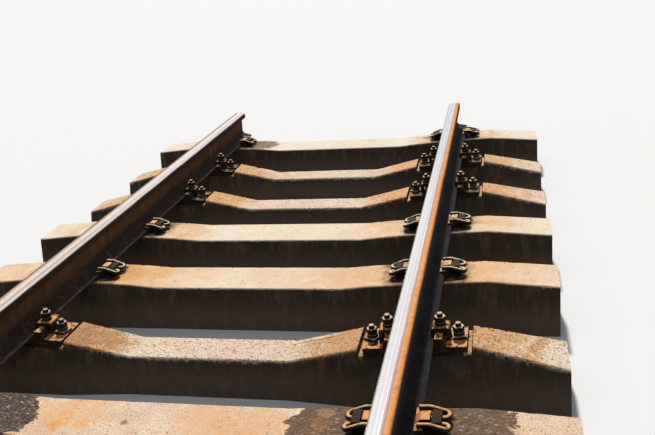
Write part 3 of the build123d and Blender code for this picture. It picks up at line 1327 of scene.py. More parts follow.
@dataclass(frozen=True)
class Sleeper(Piece):
    """One concrete sleeper with worn edges.

    Attributes:
        sizes: its form.
        half_length: half its length across the track.
        waves: pattern of its broad unevenness.
        chips: pattern of its chipped edges.
        whole: height in that pattern up to which an edge stays whole.
        chip_gain: how much deeper than the wear the highest chips go.
        side_wear: share of the edges' wear that reaches the top of the sides.
        top_wear: share of it that reaches the rim of the top.
        top_fade: how many times in half the top's width that share could fade out.
        bevel_round: how far the eased edges are round instead of flat.
        foot_fade: height over which the unevenness grows from the underside.
        end_fade: distance over which it grows from the ends.
        end_least: share of it at the ends.
        sink: height above which wear also lowers the surface, and over which it comes in full.
    """

    sizes: SleeperSizes
    half_length: float
    waves: Unevenness = Unevenness(9, 0.8, 2.1, 3)
    chips: Unevenness = Unevenness(42, 0.7, 2.2, 4)
    whole: float = 0.18
    chip_gain: float = 2.2
    side_wear: float = 0.6
    top_wear: float = 0.8
    top_fade: float = 3.0
    bevel_round: float = 0.5
    foot_fade: float = 60 * MM
    end_fade: float = 20 * MM
    end_least: float = 0.05
    sink: float = 0.1

    crease: ClassVar[float] = 24.0
    face_steps: ClassVar[int] = 8  # strips on each side and on each half of the top
    edge_steps: ClassVar[int] = 4  # strips on each eased edge

    def places(self) -> list[float]:
        """Places across the track where the sleeper is sliced.

        Returns:
            The places, in rising order.
        """
        stops = sorted({0.0, *[s[0] for s in self.sizes.stations], self.half_length})
        half = []
        for one, other in zip(stops, stops[1:]):
            count = max(1, round((other - one) / self.sizes.slice))
            half += [one + (other - one) * k / count for k in range(count)]
        half.append(self.half_length)
        return [-x for x in reversed(half[1:])] + half

    def ring(self, x: float) -> list[Vector]:
        """Section at one place, with its worn edges and unevenness.

        Args:
            x: place across the track.

        Returns:
            Its points, from one foot over the top to the other.
        """
        s = self.sizes
        width, height = s.at(x)
        base = width / 2
        eaves = height - s.chamfer
        flank = base - s.side_slope * eaves
        crest = flank - s.chamfer
        half = []
        for k in range(self.face_steps + 1):
            share = k / self.face_steps
            half.append((base + (flank - base) * share, eaves * share, share * self.side_wear))
        one, other = Vector((flank, eaves)), Vector((crest, height))
        corner = Vector((base - s.side_slope * height, height))
        for k in range(1, self.edge_steps):
            share = k / self.edge_steps
            start = one * (1 - share) + corner * share
            end = corner * (1 - share) + other * share
            bend = start * (1 - share) + end * share
            eased = one.lerp(other, share).lerp(bend, self.bevel_round)
            half.append((eased.x, eased.y, 1.0))
        for k in range(self.face_steps):
            share = k / self.face_steps
            near = max(0.0, 1 - share * self.top_fade)
            half.append((crest * (1 - share), height, near * self.top_wear))
        left = [(-y, z, edge) for y, z, edge in half]
        points = left + [(0.0, height, 0.0)] + half[::-1]
        return [self.worn(x, y, z, edge, width) for y, z, edge in points]

    def worn(self, x: float, y: float, z: float, edge: float, width: float) -> Vector:
        """Move a point of the clean form inwards by wear and unevenness.

        Args:
            x: place across the track.
            y: place from the sleeper's middle.
            z: height.
            edge: how far the point lies on an edge, from 0 to 1.
            width: width of the sleeper's underside.

        Returns:
            The worn point, in the panel's frame.
        """
        s = self.sizes
        spot = Vector((x, y + self.middle_y, z))
        chip = max(0.0, self.chips.at(spot) - self.whole)
        wave = 0.5 + 0.5 * self.waves.at(spot)
        give = s.rough * wave + s.wear * edge * chip * self.chip_gain
        end = (self.half_length - abs(x)) / self.end_fade + self.end_least
        give *= min(1.0, z / self.foot_fade) * min(1.0, end)
        inward = Vector((0, -y / (width / 2), -max(0.0, (z - self.sink) / self.sink)))
        moved = Vector((x, y, z)) + inward * give
        return Vector((moved.x, moved.y + self.middle_y, max(0.0, moved.z)))

    def mesh(self) -> Mesh:
        """Sweep the worn section across the track.

        Returns:
            The mesh.
        """
        bm = bmesh.new()
        add_rings(bm, [self.ring(x) for x in self.places()])
        return bm


@dataclass(frozen=True)
class EasedPiece(Piece):
    """A cast, forged or moulded piece: its solid with eased edges.

    Attributes:
        ease: how far the edges are eased.
        weld: distance within which the solid's points are one.
        flat: turn in degrees up to which its faces are one.
        edge: turn in degrees from which an edge is eased.
        steps: facets across an eased edge.
    """

    ease: float
    weld: float = 0.01 * MM
    flat: float = 1.0
    edge: float = 20.0
    steps: int = 3

    crease: ClassVar[float] = 50.0

    def mesh(self) -> Mesh:
        """Copy the solid and ease its edges.

        Returns:
            The mesh.
        """
        bm = bmesh.new()
        bm.from_mesh(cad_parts[self.node].data)
        bmesh.ops.remove_doubles(bm, verts=bm.verts, dist=self.weld)
        bmesh.ops.dissolve_limit(bm, angle_limit=math.radians(self.flat), verts=bm.verts,
                                 edges=bm.edges)
        turn = math.radians(self.edge)
        edges = [e for e in bm.edges if e.is_manifold and e.calc_face_angle(0) > turn]
        bmesh.ops.bevel(bm, geom=edges, offset=self.ease, segments=self.steps, profile=0.5,
                        affect="EDGES", clamp_overlap=True)
        return bm


@dataclass(frozen=True)
class ClipSizes:
    """Spring clip of round bar.

    Attributes:
        inner_leg: from the clip's middle to each inner leg.
        outer_leg: from the clip's middle to each outer leg.
        reach: from the rail's axis to the outer loops.
        level: height of the loops above the seat.
        bar: thickness of the bar.
        toe_x: where the outer legs end on the block's wings.
        toe_level: height of the outer legs there.
        rise_x: where the outer legs begin to fall to the loops.
        bend_x: where the bend that joins the inner legs lies.
        slack: how much less than a half circle each bend takes.
        sides: points round the bar.
        steps: chords in each bend.
        end_round: how far the ends are eased.
    """

    bar: float = 17 * MM
    inner_leg: float = 16 * MM
    outer_leg: float = 45.5 * MM
    reach: float = 158.5 * MM
    level: float = 22 * MM
    toe_x: float = 65.5 * MM
    toe_level: float = 41.5 * MM
    rise_x: float = 100.3 * MM
    bend_x: float = 92.1 * MM
    slack: float = 0.1 * MM
    sides: int = 16
    steps: int = 9
    end_round: float = 1.5 * MM


@dataclass(frozen=True)
class SpringClips(Piece):
    """The four spring clips of one sleeper.

    Attributes:
        sizes: form of one clip.
    """

    sizes: ClipSizes = ClipSizes()

    def path(self) -> list[Vector]:
        """Centre line of the bar, from one toe to the other.

        Returns:
            Its points.
        """
        s = self.sizes
        half = [(s.toe_x, s.outer_leg, s.toe_level), (s.rise_x, s.outer_leg, s.toe_level),
                (s.reach, s.outer_leg, s.level), (s.reach, s.inner_leg, s.level),
                (s.bend_x, s.inner_leg, s.level)]
        loop = (s.outer_leg - s.inner_leg) / 2 - s.slack
        radii = [0, 2 * s.bar, loop, loop, s.inner_leg - s.slack]
        other = [(x, -y, z) for x, y, z in reversed(half)]
        return rounded(half + other, radii + radii[::-1], s.steps)

    def mesh(self) -> Mesh:
        """Bend the bar and copy it to the four sides.

        Returns:
            The mesh.
        """
        s = self.sizes
        clip = bmesh.new()
        add_tube(clip, self.path(), s.bar / 2, s.sides, s.end_round)
        bm = bmesh.new()
        add_copies(bm, clip, TRACK.four_sides(self.middle_y, TRACK.pad_smooth))
        clip.free()
        return bm


@dataclass(frozen=True)
class BoltSizes:
    """Bolt with its nut and double coil spring washer.

    Attributes:
        washer_level: height of what the washer stands on, above the sleeper's seat.
        low: lower end of the shank.
        place: distance from the rail's axis.
        base: width, length, underside and top of the head or bush.
        diameter: thickness of the shank.
        pitch: rise of the thread in one turn.
        thread: depth of the thread as a share of that.
        lead: length over which the thread fades out at the shank's end.
        tip: how much thinner than the thread's core the shank's end is.
        washer_outer: outer diameter of the washer.
        washer_inner: its inner diameter.
        washer_height: height of its two coils.
        coil_gap: how much less than half of that each coil is thick.
        nut_across: width of the nut across its flats.
        nut_height: height of the nut.
        nut_face: width of its flat ends as a share of nut_across.
        nut_cut: width at which the cut of its corners begins, as such a share.
        nut_slope: slope of that cut, in degrees.
        stand: how far the shank stands out of the nut.
        ease: how far the edges of the washer and nut are eased.
        base_ease: how far the edges of the head or bush are eased.
        base_round: radius of its corners.
    """

    washer_level: float
    low: float
    place: float
    base: tuple[float, float, float, float]
    diameter: float = 22 * MM
    pitch: float = 2.5 * MM
    thread: float = 0.6
    lead: float = 2 * MM
    tip: float = 1 * MM
    washer_outer: float = 42 * MM
    washer_inner: float = 23 * MM
    washer_height: float = 14 * MM
    coil_gap: float = 0.9 * MM
    nut_across: float = 36 * MM
    nut_height: float = 21 * MM
    nut_face: float = 0.97
    nut_cut: float = 1.01
    nut_slope: float = 30.0
    stand: float = 13 * MM
    ease: float = 0.8 * MM
    base_ease: float = 1.2 * MM
    base_round: float = 3 * MM

    @property
    def nut_level(self) -> float:
        """Height of the nut's underside."""
        return self.washer_level + self.washer_height

    @property
    def top(self) -> float:
        """Height of the shank's end."""
        return self.nut_level + self.nut_height + self.stand


@dataclass(frozen=True)
class Bolts(Piece):
    """The four bolts of one kind at one sleeper.

    Attributes:
        sizes: form of one bolt.
        around: points round the bolt.
        thread_steps: rings in each turn of the thread.
        coil_turns: turns of the spring washer.
        coil_steps: sections along the spring washer.
        corner_steps: chords in each corner of the head or bush.
        turns: how far each bolt is turned from the last, and more for each metre along the track,
            in degrees.
    """

    sizes: BoltSizes
    around: int = 36
    thread_steps: int = 6
    coil_turns: float = 1.96
    coil_steps: int = 64
    corner_steps: int = 4
    turns: Point = (37, 100)

    crease: ClassVar[float] = 38.0

    def circle(self, radius: float, z: float) -> list[Vector]:
        """Ring of points about the bolt's axis."""
        angles = [2 * math.pi * k / self.around for k in range(self.around)]
        return [Vector((radius * math.cos(a), radius * math.sin(a), z)) for a in angles]

    def add_shank(self, bm: Mesh) -> None:
        """Add the threaded shank.

        Args:
            bm: mesh to add to.
        """
        s = self.sizes
        radius = s.diameter / 2
        depth = s.thread * s.pitch
        start = s.nut_level + s.nut_height - s.lead
        rings = [self.circle(radius - depth, s.low), self.circle(radius - depth, start)]
        count = round((s.top - start) / s.pitch * self.thread_steps)
        for k in range(count + 1):
            z = start + (s.top - start) * k / count
            fade = min(1.0, (s.top - z) / s.lead)
            ring = []
            for i, flat in enumerate(self.circle(1.0, 0.0)):
                turn = (z / s.pitch - i / self.around) % 1.0
                ridge = 1 - abs(2 * turn - 1)
                ring.append(Vector((0, 0, z)) + flat * (radius - depth * (1 - ridge * fade)))
            rings.append(ring)
        rings.append(self.circle(radius - depth - s.tip, s.top))
        add_rings(bm, rings)

    def add_nut(self, bm: Mesh) -> None:
        """Add the nut, with the arcs that its cut corners leave on its flats.

        Args:
            bm: mesh to add to.
        """
        s = self.sizes
        inner = s.nut_across / 2
        face = inner * s.nut_face
        low = s.nut_level
        high = low + s.nut_height
        slope = math.tan(math.radians(s.nut_slope))
        below, above = [], []
        for flat in self.circle(1.0, 0.0):
            angle = math.atan2(flat.y, flat.x) % (math.pi / 3)
            reach = inner / math.cos(angle - math.pi / 6)
            fall = max(0.0, reach - inner * s.nut_cut) * slope
            below.append(flat * reach + Vector((0, 0, low + fall)))
            above.append(flat * reach + Vector((0, 0, high - fall)))
        add_rings(bm, [self.circle(s.diameter / 2, low), self.circle(face, low), below, above,
                       self.circle(face, high), self.circle(s.diameter / 2, high - s.ease)],
                  caps=False)

    def add_washer(self, bm: Mesh) -> None:
        """Add the double coil spring washer.

        Args:
            bm: mesh to add to.
        """
        s = self.sizes
        band = s.washer_height / 2 - s.coil_gap
        inner = s.washer_inner / 2
        outer = s.washer_outer / 2
        rings = []
        for k in range(self.coil_steps + 1):
            share = k / self.coil_steps
            angle = 2 * math.pi * self.coil_turns * share
            out = Vector((math.cos(angle), math.sin(angle), 0))
            z = s.washer_level + (s.washer_height - band) * share
            corners = [(inner, z), (outer - s.ease, z), (outer, z + s.ease),
                       (outer, z + band - s.ease), (outer - s.ease, z + band), (inner, z + band)]
            rings.append([out * r + Vector((0, 0, h)) for r, h in corners])
        add_rings(bm, rings)

    def add_base(self, bm: Mesh) -> None:
        """Add what lies at the bolt's foot: its head, or its bush.

        Args:
            bm: mesh to add to.
        """
        width, length, low, high = self.sizes.base
        ease = self.sizes.base_ease
        radii = [self.sizes.base_round] * 4
        rings = []
        for z, inset in ((low, ease), (low + ease, 0), (high - ease, 0), (high, ease)):
            x = width / 2 - inset
            y = length / 2 - inset
            corners = [(x, y), (-x, y), (-x, -y), (x, -y)]
            outline = rounded(corners, radii, self.corner_steps, closed=True)
            rings.append([Vector((p.x, p.y, z)) for p in outline])
        add_rings(bm, rings)

    def turn(self, number: int) -> Matrix:
        """How one of the bolts is turned: each differently, unless its long head lies in a slot.

        Args:
            number: number of the bolt.

        Returns:
            The turn.
        """
        width, length = self.sizes.base[:2]
        if width < length:
            return Matrix.Identity(4)
        angle = self.turns[0] * number + self.turns[1] * self.middle_y
        return Matrix.Rotation(math.radians(angle), 4, "Z")

    def mesh(self) -> Mesh:
        """Put one bolt together and copy it to the four sides.

        Returns:
            The mesh.
        """
        bolt = bmesh.new()
        for add in (self.add_shank, self.add_nut, self.add_washer, self.add_base):
            add(bolt)
        shift = Matrix.Translation((self.sizes.place, 0, 0))
        sides = TRACK.four_sides(self.middle_y, TRACK.stack_coarse)
        bm = bmesh.new()
        add_copies(bm, bolt, [side @ shift @ self.turn(k) for k, side in enumerate(sides)])
        bolt.free()
        return bm


# Studio


@dataclass(frozen=True)
class PhotoCamera:
    """Camera at the photograph's place.

    Attributes:
        position: the camera's place.
        focal_px: focal length in pixels of the photograph.
        width_px: the photograph's width.
        yaw: turn to the left of the track's direction, in degrees.
        pitch: tilt down, in degrees.
        roll: turn about the line of sight, in degrees, to the left.
        sensor: width of the camera's sensor in millimetres.
    """

    position: tuple[float, float, float] = (1.1328, -3.5025, 1.6667)
    focal_px: float = 769.6
    width_px: float = 655.0
    yaw: float = 13.886
    pitch: float = 20.803
    roll: float = -5.792
    sensor: float = 36.0

    def build(self) -> None:
        """Create the camera and make it the scene's."""
        data = bpy.data.cameras.new("photo_camera")
        data.sensor_width = self.sensor
        data.lens = self.sensor * self.focal_px / self.width_px
        camera = bpy.data.objects.new("photo_camera", data)
        turn = (Matrix.Rotation(math.radians(self.yaw), 4, "Z")
                @ Matrix.Rotation(math.radians(90 - self.pitch), 4, "X")
                @ Matrix.Rotation(math.radians(self.roll), 4, "Z"))
        camera.matrix_world = Matrix.Translation(self.position) @ turn
        bpy.context.scene.collection.objects.link(camera)
        bpy.context.scene.camera = camera


@dataclass(frozen=True)
class Lamp:
    """A far, soft lamp.

    Attributes:
        name: the lamp's name.
        towards: direction from the panel to the lamp.
        spread: how wide the lamp looks from the panel, in degrees, which softens its shadows.
        power: strength of its light.
        colour: colour of its light.
    """

    name: str
    towards: tuple[float, float, float]
    spread: float
    power: float
    colour: Colour

    def build(self) -> None:
        """Create the lamp."""
        data = bpy.data.lights.new(self.name, "SUN")
        data.angle = math.radians(self.spread)
        data.energy = self.power
        data.color = self.colour
        lamp = bpy.data.objects.new(self.name, data)
        lamp.rotation_euler = Vector(self.towards).to_track_quat("Z", "Y").to_euler()
        bpy.context.scene.collection.objects.link(lamp)


@dataclass(frozen=True)
class Studio:
    """Floor, lamps, backdrop and camera.

    Attributes:
        lamps: the lamps.
        background: colour that the camera and reflections see behind the panel.
        sky: colour of the light from all around.
        ambient: strength of that light.
        floor_reach: half size of the floor.
        floor_cells: squares along each side of the floor.
    """

    lamps: tuple[Lamp, ...] = (Lamp("key", (-0.12, 0.66, 0.74), 5, 3.2, (1.0, 0.96, 0.9)),
                               Lamp("fill", (0.5, -0.7, 0.5), 60, 0.12, (0.92, 0.96, 1.0)))
    background: Colour = (0.93, 0.925, 0.91)
    sky: Colour = (0.86, 0.92, 1.0)
    ambient: float = 0.24
    floor_reach: float = 300.0
    floor_cells: int = 12

    def build(self) -> None:
        """Set the stage."""
        bm = bmesh.new()
        cells = self.floor_cells
        bmesh.ops.create_grid(bm, x_segments=cells, y_segments=cells, size=self.floor_reach)
        floor = finish_mesh(bm, "floor")
        floor.data.materials.append(FloorFinish().build("floor_finish"))
        for lamp in self.lamps:
            lamp.build()
        self.backdrop()
        PhotoCamera().build()
        bpy.context.scene.view_settings.view_transform = "Standard"

    def backdrop(self) -> None:
        """Pale background for the camera and reflections, dimmer as a source of light."""
        world = bpy.data.worlds.new("studio")
        bpy.context.scene.world = world
        world.use_nodes = True
        g = Graph(world.node_tree)
        path = g.node("ShaderNodeLightPath", {})
        seen, mirrored, through = (Signal(g, path.outputs[ray]) for ray in (
            "Is Camera Ray", "Is Glossy Ray", "Is Transmission Ray"))
        share = g.math("MAXIMUM", seen, g.math("MAXIMUM", mirrored, through))
        pale, dim = (g.out("ShaderNodeBackground", {"Color": colour, "Strength": strength})
                     for colour, strength in ((self.background, 1.0), (self.sky, self.ambient)))
        shown = g.out("ShaderNodeMixShader", {0: share, 1: dim, 2: pale})
        g.node("ShaderNodeOutputWorld", {"Surface": shown})


# The panel

KINDS = tuple(Kind(letter) for letter in "ABAABBA")  # from the near end
RUSTY_CLIPS = (1,)  # numbers of the smooth sleepers whose blocks and clips are rustier
RUSTY_PLATES = (2,)  # numbers of the coarse sleepers whose plates are rusty instead of greasy

# Each band: its place out of the track, colour and shine. The near-black bands at the edges of
# each head are painted shade where it rounds over into its sides, and the near-white left bands
# at -34.5 and -31 mm, which hardly shine, are a painted highlight along the gauge corner.
RIGHT_BANDS = (
    Band(-37 * MM, (0.14, 0.13, 0.11), 0.2), Band(-33.5 * MM, (0.5, 0.49, 0.46), 0.9),
    Band(-26 * MM, (0.97, 0.97, 0.96), 1.0), Band(-17 * MM, (0.78, 0.76, 0.8), 1.0),
    Band(-9 * MM, (0.91, 0.87, 0.89), 1.0), Band(0, (0.72, 0.68, 0.71), 0.95),
    Band(8 * MM, (0.58, 0.5, 0.5), 0.5), Band(14 * MM, (0.58, 0.38, 0.29), 0.0),
    Band(20 * MM, (0.95, 0.43, 0.16), 0.0), Band(30 * MM, (0.93, 0.38, 0.11), 0.0),
    Band(35 * MM, (0.4, 0.17, 0.06), 0.0), Band(37.4 * MM, (0.05, 0.03, 0.02), 0.0))
LEFT_BANDS = (
    Band(-36.5 * MM, (0.05, 0.03, 0.02), 0.0), Band(-34.5 * MM, (0.85, 0.8, 0.76), 0.3),
    Band(-31 * MM, (0.95, 0.9, 0.86), 0.4), Band(-28 * MM, (0.84, 0.75, 0.68), 0.5),
    Band(-24.5 * MM, (0.56, 0.45, 0.4), 0.15), Band(-15 * MM, (0.6, 0.48, 0.42), 0.25),
    Band(-7 * MM, (0.8, 0.67, 0.58), 0.3), Band(1 * MM, (0.96, 0.83, 0.72), 0.3),
    Band(9 * MM, (0.74, 0.59, 0.49), 0.2), Band(17 * MM, (0.6, 0.46, 0.37), 0.1),
    Band(23 * MM, (0.24, 0.19, 0.16), 0.0), Band(29 * MM, (0.07, 0.05, 0.04), 0.0))
RAILS = {
    Side.LEFT: RailFinish(LEFT_BANDS),
    # Painted shade: the right rail's head sides, web and foot are darker than the left rail's.
    Side.RIGHT: RailFinish(RIGHT_BANDS, head_side=(0.03, 0.026, 0.03), web=(0.035, 0.032, 0.036),
                           web_rust=(0.075, 0.042, 0.03), foot=(0.012, 0.012, 0.015),
                           far_reflection=(0.6, 0.63, 0.71), far_reflection_from=-0.4, far_reflection_full=1.7),
}

# In these finishes the near-black rust is painted shade, and the pale dust on faces that look up is
# also a painted highlight. The anchors are darkest: grease, and painted shade under the clips.
ANCHOR_GREASE_AND_SHADE = RustFinish(deep=(0.009, 0.006, 0.005), fresh=(0.03, 0.014, 0.008),
                           dust=(0.3, 0.15, 0.07), dust_and_highlight_share=0.12, pits=0.8 * MM)
IRON_FINISH = RustFinish(deep=(0.016, 0.009, 0.006), fresh=(0.075, 0.032, 0.013),
                         dust=(0.98, 0.62, 0.3), dust_and_highlight_share=0.97, pits=0.6 * MM)
RUSTY_IRON_FINISH = replace(IRON_FINISH, dust=(0.95, 0.42, 0.16))
PLATE_FINISH = RustFinish(deep=(0.018, 0.01, 0.007), fresh=(0.09, 0.038, 0.015),
                          dust=(0.95, 0.45, 0.18), dust_and_highlight_share=0.98, pits=0.6 * MM,
                          patches=(0.4, 0.54))
GREASY_FINISH = RustFinish(deep=(0.012, 0.009, 0.008), fresh=(0.05, 0.024, 0.012),
                           dust=(0.5, 0.28, 0.14), dust_and_highlight_share=0.55, pits=0.6 * MM)
SPRING_FINISH = RustFinish(deep=(0.014, 0.009, 0.006), fresh=(0.06, 0.03, 0.016),
                           dust=(1.0, 0.82, 0.58), dust_and_highlight_share=0.98, pits=0.3 * MM, dust_and_highlight_from=0.6)
RUSTY_SPRING_FINISH = replace(SPRING_FINISH, dust=(0.95, 0.52, 0.22))
BOLT_FINISH = RustFinish(deep=(0.01, 0.007, 0.006), fresh=(0.045, 0.02, 0.01),
                         dust=(1.0, 0.74, 0.5), dust_and_highlight_share=0.85, pits=0.3 * MM, dust_and_highlight_from=0.8,
                         left_dust_and_highlight=0.75)

DIRT_PURPLE: Colour = (0.27, 0.2, 0.165)

SMOOTH = ConcreteFinish(light=(0.96, 0.8, 0.62), shade=(0.9, 0.67, 0.47),
                        stain=(0.86, 0.47, 0.2))
# On coarse sleepers the black dirt and painted shadow cover the whole seat round the plates.
COARSE = ConcreteFinish(light=(0.88, 0.7, 0.52), shade=(0.7, 0.5, 0.34), stain=(0.72, 0.38, 0.17),
                        stain_start=0.3, stain_reach=0.22, stain_strength=0.9, grime_reach=0.14,
                        grain=1.0 * MM, pocks=0.2, pock_scale=110, grit=82, grit_tone=(0.7, 1.25),
                        pebble_share=0.6, pebble_hue=0.5, sand=0.26, speckle=0.65,
                        soot_and_shade_place=0.0, soot_and_shade_size=(0.185, 0.16))

FINISHES = {
    1: replace(SMOOTH, light=(0.92, 0.74, 0.55), shade=(0.8, 0.56, 0.4), stain_start=0.05,
               sand=0.32, bloom_share=0.25, pocks=0.12, grit_tone=(0.7, 1.14), pebble_share=0.4,
               pebble_hue=0.35, grain=0.5 * MM),
    2: replace(COARSE, light=(0.98, 0.81, 0.63), shade=(0.9, 0.68, 0.5), stain=(0.84, 0.46, 0.2),
               grain=1.6 * MM, grit_tone=(0.5, 1.4), pebble_share=0.75, sand=0.34),
    3: replace(SMOOTH, stain_reach=0.6),
    4: replace(SMOOTH, light=(0.97, 0.84, 0.68), shade=(0.93, 0.73, 0.54), stain_reach=0.4),
    5: replace(COARSE, light=(0.95, 0.77, 0.6), shade=(0.84, 0.62, 0.45), stain=(0.88, 0.48, 0.2)),
    6: replace(COARSE, light=(0.94, 0.76, 0.58), shade=(0.82, 0.6, 0.43), stain=(0.88, 0.5, 0.23)),
    7: replace(SMOOTH, light=(0.97, 0.88, 0.75), shade=(0.93, 0.78, 0.62), stain_reach=0.3),
}

# Each blot: x, y, size, colour, strength, stretch, ragged, soft, and for some its turn.
BLOTS: dict[int, tuple[Blot, ...]] = {
    1: (Blot(-0.335, 0.0, 0.03, (0.9, 0.45, 0.14), 0.75, 2.0, 0.012, 0.03),
        Blot(-0.345, -0.033, 0.03, (0.85, 0.36, 0.08), 0.85, 0.9, 0.012, 0.025),
        Blot(-0.255, -0.028, 0.035, (0.88, 0.45, 0.16), 0.7, 0.8, 0.015, 0.03),
        Blot(-0.322, -0.004, 0.006, (0.5, 0.2, 0.08), 0.9, 1.0, 0.001, 0.004),
        Blot(0.285, -0.035, 0.08, (0.85, 0.46, 0.18), 0.6, 0.35, 0.02, 0.05),
        Blot(0.17, 0.02, 0.1, (0.86, 0.48, 0.25), 0.62, 0.9, 0.06, 0.09),
        Blot(0.37, 0.02, 0.13, (0.86, 0.48, 0.25), 0.65, 0.6, 0.06, 0.07),
        Blot(-0.32, 0.03, 0.14, (0.88, 0.5, 0.24), 0.55, 0.6, 0.06, 0.08),
        Blot(-0.106, -0.006, 0.016, (0.3, 0.18, 0.11), 0.85, 1.0, 0.012, 0.01),
        Blot(-0.78, 0.0, 0.335, DIRT_PURPLE, 0.98, 0.62, 0.02, 0.006, clumps=0.25, caked=True),
        Blot(0.8, 0.0, 0.36, (0.46, 0.27, 0.16), 0.95, 0.7, 0.03, 0.008, clumps=0.45, caked=True),
        Blot(0.568, 0.072, 0.03, (0.88, 0.46, 0.26), 0.9, 0.9, 0.01, 0.01, clumps=0.7, caked=True),
        Blot(0.555, 0.008, 0.024, (0.82, 0.42, 0.17), 0.85, 1.8, 0.01, 0.02, clumps=0.5,
             caked=True)),
    2: (Blot(-0.56, 0.0, 0.14, (0.42, 0.2, 0.09), 0.5, 1.0, 0.12, 0.1, clumps=1.4),
        Blot(0.56, 0.0, 0.13, (0.42, 0.2, 0.09), 0.2, 1.0, 0.12, 0.1, clumps=1.4),
        Blot(0.42, 0.048, 0.12, (0.17, 0.09, 0.05), 0.9, 0.032, 0.001, 0.06, 1.5, sway=0.012)),
    3: (Blot(-0.66, 0.02, 0.13, (0.8, 0.4, 0.14), 0.8, 0.8, 0.03, 0.06),
        Blot(-0.48, 0.05, 0.08, (0.84, 0.5, 0.2), 0.6, 0.8, 0.03, 0.06)),
    7: (Blot(-0.575, 0.02, 0.095, (0.5, 0.33, 0.24), 0.85, 1.1, 0.03, 0.02, clumps=0.6,
             caked=True),),
}


def sleeper_sizes() -> dict[Kind, SleeperSizes]:
    """Forms of the two kinds of sleeper.

    Returns:
        The form of each kind.
    """
    width, half = 300 * MM, 1350 * MM
    lean = math.sin(TRACK.cant)
    tilt = math.tan(TRACK.cant)

    seat = TRACK.foot_z - TRACK.pad_smooth * math.cos(TRACK.cant)
    seat_x = TRACK.foot_x + TRACK.pad_smooth * lean
    seat_half = 245 * MM
    crest = 212 * MM
    smooth = SleeperSizes(
        stations=((430 * MM, width, seat - 25 * MM),
                  (seat_x - seat_half, width, seat - seat_half * tilt),
                  (seat_x + seat_half, width, seat + seat_half * tilt),
                  (half, width, 206 * MM)),
        side_slope=(width - crest) / 2 / seat, chamfer=6 * MM, wear=1.2 * MM, rough=0.6 * MM)

    seat = TRACK.seat_height
    seat_x = TRACK.foot_x + TRACK.stack_coarse * lean
    recess = 204 * MM
    depth = 25 * MM
    ease = 5 * MM
    crest = 177 * MM
    coarse = SleeperSizes(
        stations=((330 * MM, 250 * MM, 145 * MM),
                  (seat_x - recess - ease, width, seat - recess * tilt + depth),
                  (seat_x - recess, width, seat - recess * tilt),
                  (seat_x + recess, width, seat + recess * tilt),
                  (seat_x + recess + ease, width, seat + recess * tilt + depth),
                  (half, width, 155 * MM)),
        side_slope=(width - crest) / 2 / seat, chamfer=7 * MM, wear=2.8 * MM, rough=1.3 * MM,
        slice=9 * MM)
    return {Kind.SMOOTH: smooth, Kind.COARSE: coarse}


def bolt_sizes() -> tuple[BoltSizes, BoltSizes]:
    """Sizes of the clamp bolt and of the anchor bolt, above the sleeper's seat.

    Returns:
        The clamp bolt and the anchor bolt.
    """
    clamp_top = 73 * MM
    pocket = 20 * MM
    head = 15.7 * MM
    clamp = BoltSizes(washer_level=clamp_top, low=pocket, place=96.5 * MM,
                      base=(24 * MM, 44 * MM, pocket, pocket + head))
    ledge = 21.7 * MM
    bush = 9 * MM
    anchor = BoltSizes(washer_level=ledge + bush, low=-120 * MM, place=160 * MM,
                       base=(52 * MM, 52 * MM, ledge, ledge + bush))
    return clamp, anchor


def rails() -> list[Piece]:
    """The two rails.

    Returns:
        The rails.
    """
    made = []
    for side, finish in RAILS.items():
        node = f"rail_{side.name.lower()}"
        material = finish.build(f"{node}_finish", side)
        made.append(Rail(node, Slot.RAIL, material, side, TRACK.rail))
    return made


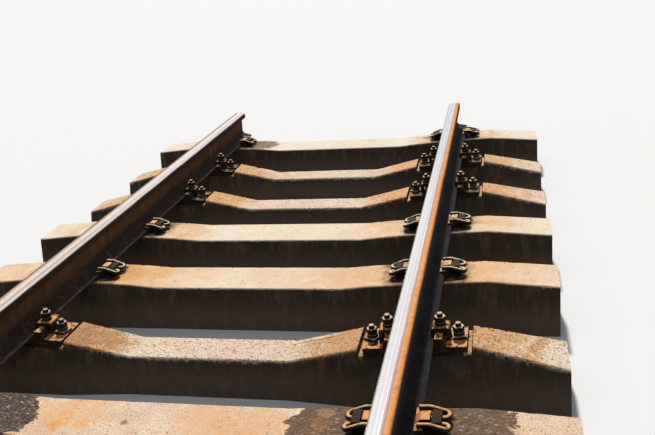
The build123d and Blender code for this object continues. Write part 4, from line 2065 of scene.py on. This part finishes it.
class Row:
    """The sleepers and their fastenings, which share finishes and sizes."""

    def __init__(self) -> None:
        """Build the finishes of the fastenings and work out the sizes."""
        self.rubber = RubberFinish().build("rubber")
        self.iron = IRON_FINISH.build("iron")
        self.rusty_iron = RUSTY_IRON_FINISH.build("rusty_iron")
        self.anchor = ANCHOR_GREASE_AND_SHADE.build("anchor")
        self.spring = SPRING_FINISH.build("spring")
        self.rusty_spring = RUSTY_SPRING_FINISH.build("rusty_spring")
        self.plate = PLATE_FINISH.build("plate")
        self.greasy = GREASY_FINISH.build("greasy")
        self.bolt = BOLT_FINISH.build("bolt")
        self.forms = sleeper_sizes()
        self.clamp_bolt, self.anchor_bolt = bolt_sizes()

    def sleeper(self, number: int, kind: Kind) -> Sleeper:
        """One sleeper, with the stains of its own.

        Args:
            number: number of the sleeper, from the near end.
            kind: its kind.

        Returns:
            The sleeper.
        """
        node = f"sleeper_{number}"
        material = FINISHES[number].build(f"{node}_finish", middle_of(node), BLOTS.get(number, ()))
        slot = Slot.SMOOTH if kind is Kind.SMOOTH else Slot.COARSE
        return Sleeper(node, slot, material, self.forms[kind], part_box(node)[1].x)

    def smooth_fastenings(self, number: int) -> list[Piece]:
        """Blocks, anchors and clips of a smooth sleeper.

        Args:
            number: number of the sleeper, from the near end.

        Returns:
            The pieces.
        """
        rusty = number in RUSTY_CLIPS
        block = self.rusty_iron if rusty else self.iron
        bar = self.rusty_spring if rusty else self.spring
        return [EasedPiece(f"clip_blocks_{number}", Slot.IRON, block, ease=1.2 * MM),
                EasedPiece(f"clip_anchors_{number}", Slot.IRON, self.anchor, ease=2 * MM),
                SpringClips(f"spring_clips_{number}", Slot.SPRING, bar)]

    def coarse_fastenings(self, number: int) -> list[Piece]:
        """Plates, clamps and bolts of a coarse sleeper.

        Args:
            number: number of the sleeper, from the near end.

        Returns:
            The pieces.
        """
        rust = self.plate if number in RUSTY_PLATES else self.greasy
        return [EasedPiece(f"seat_pads_{number}", Slot.PAD, self.rubber, ease=1 * MM),
                EasedPiece(f"baseplates_{number}", Slot.PLATE, rust, ease=1.5 * MM),
                EasedPiece(f"clamps_{number}", Slot.PLATE, rust, ease=1.5 * MM),
                Bolts(f"clamp_bolts_{number}", Slot.BOLT, self.bolt, self.clamp_bolt),
                Bolts(f"anchor_bolts_{number}", Slot.BOLT, self.bolt, self.anchor_bolt)]

    def pieces(self) -> list[Piece]:
        """Every sleeper with its fastenings, from the near end.

        Returns:
            The pieces.
        """
        made = []
        for number, kind in enumerate(KINDS, start=1):
            made.append(self.sleeper(number, kind))
            made.append(EasedPiece(f"rail_pads_{number}", Slot.PAD, self.rubber, ease=1 * MM))
            smooth = kind is Kind.SMOOTH
            made += self.smooth_fastenings(number) if smooth else self.coarse_fastenings(number)
        return made


def main() -> None:
    """Build the studio and every piece."""
    logging.basicConfig(level=logging.INFO, format="%(name)s: %(message)s")
    Studio().build()
    for piece in rails() + Row().pieces():
        piece.dress(piece.build())


if __name__ == "__main__":
    main()
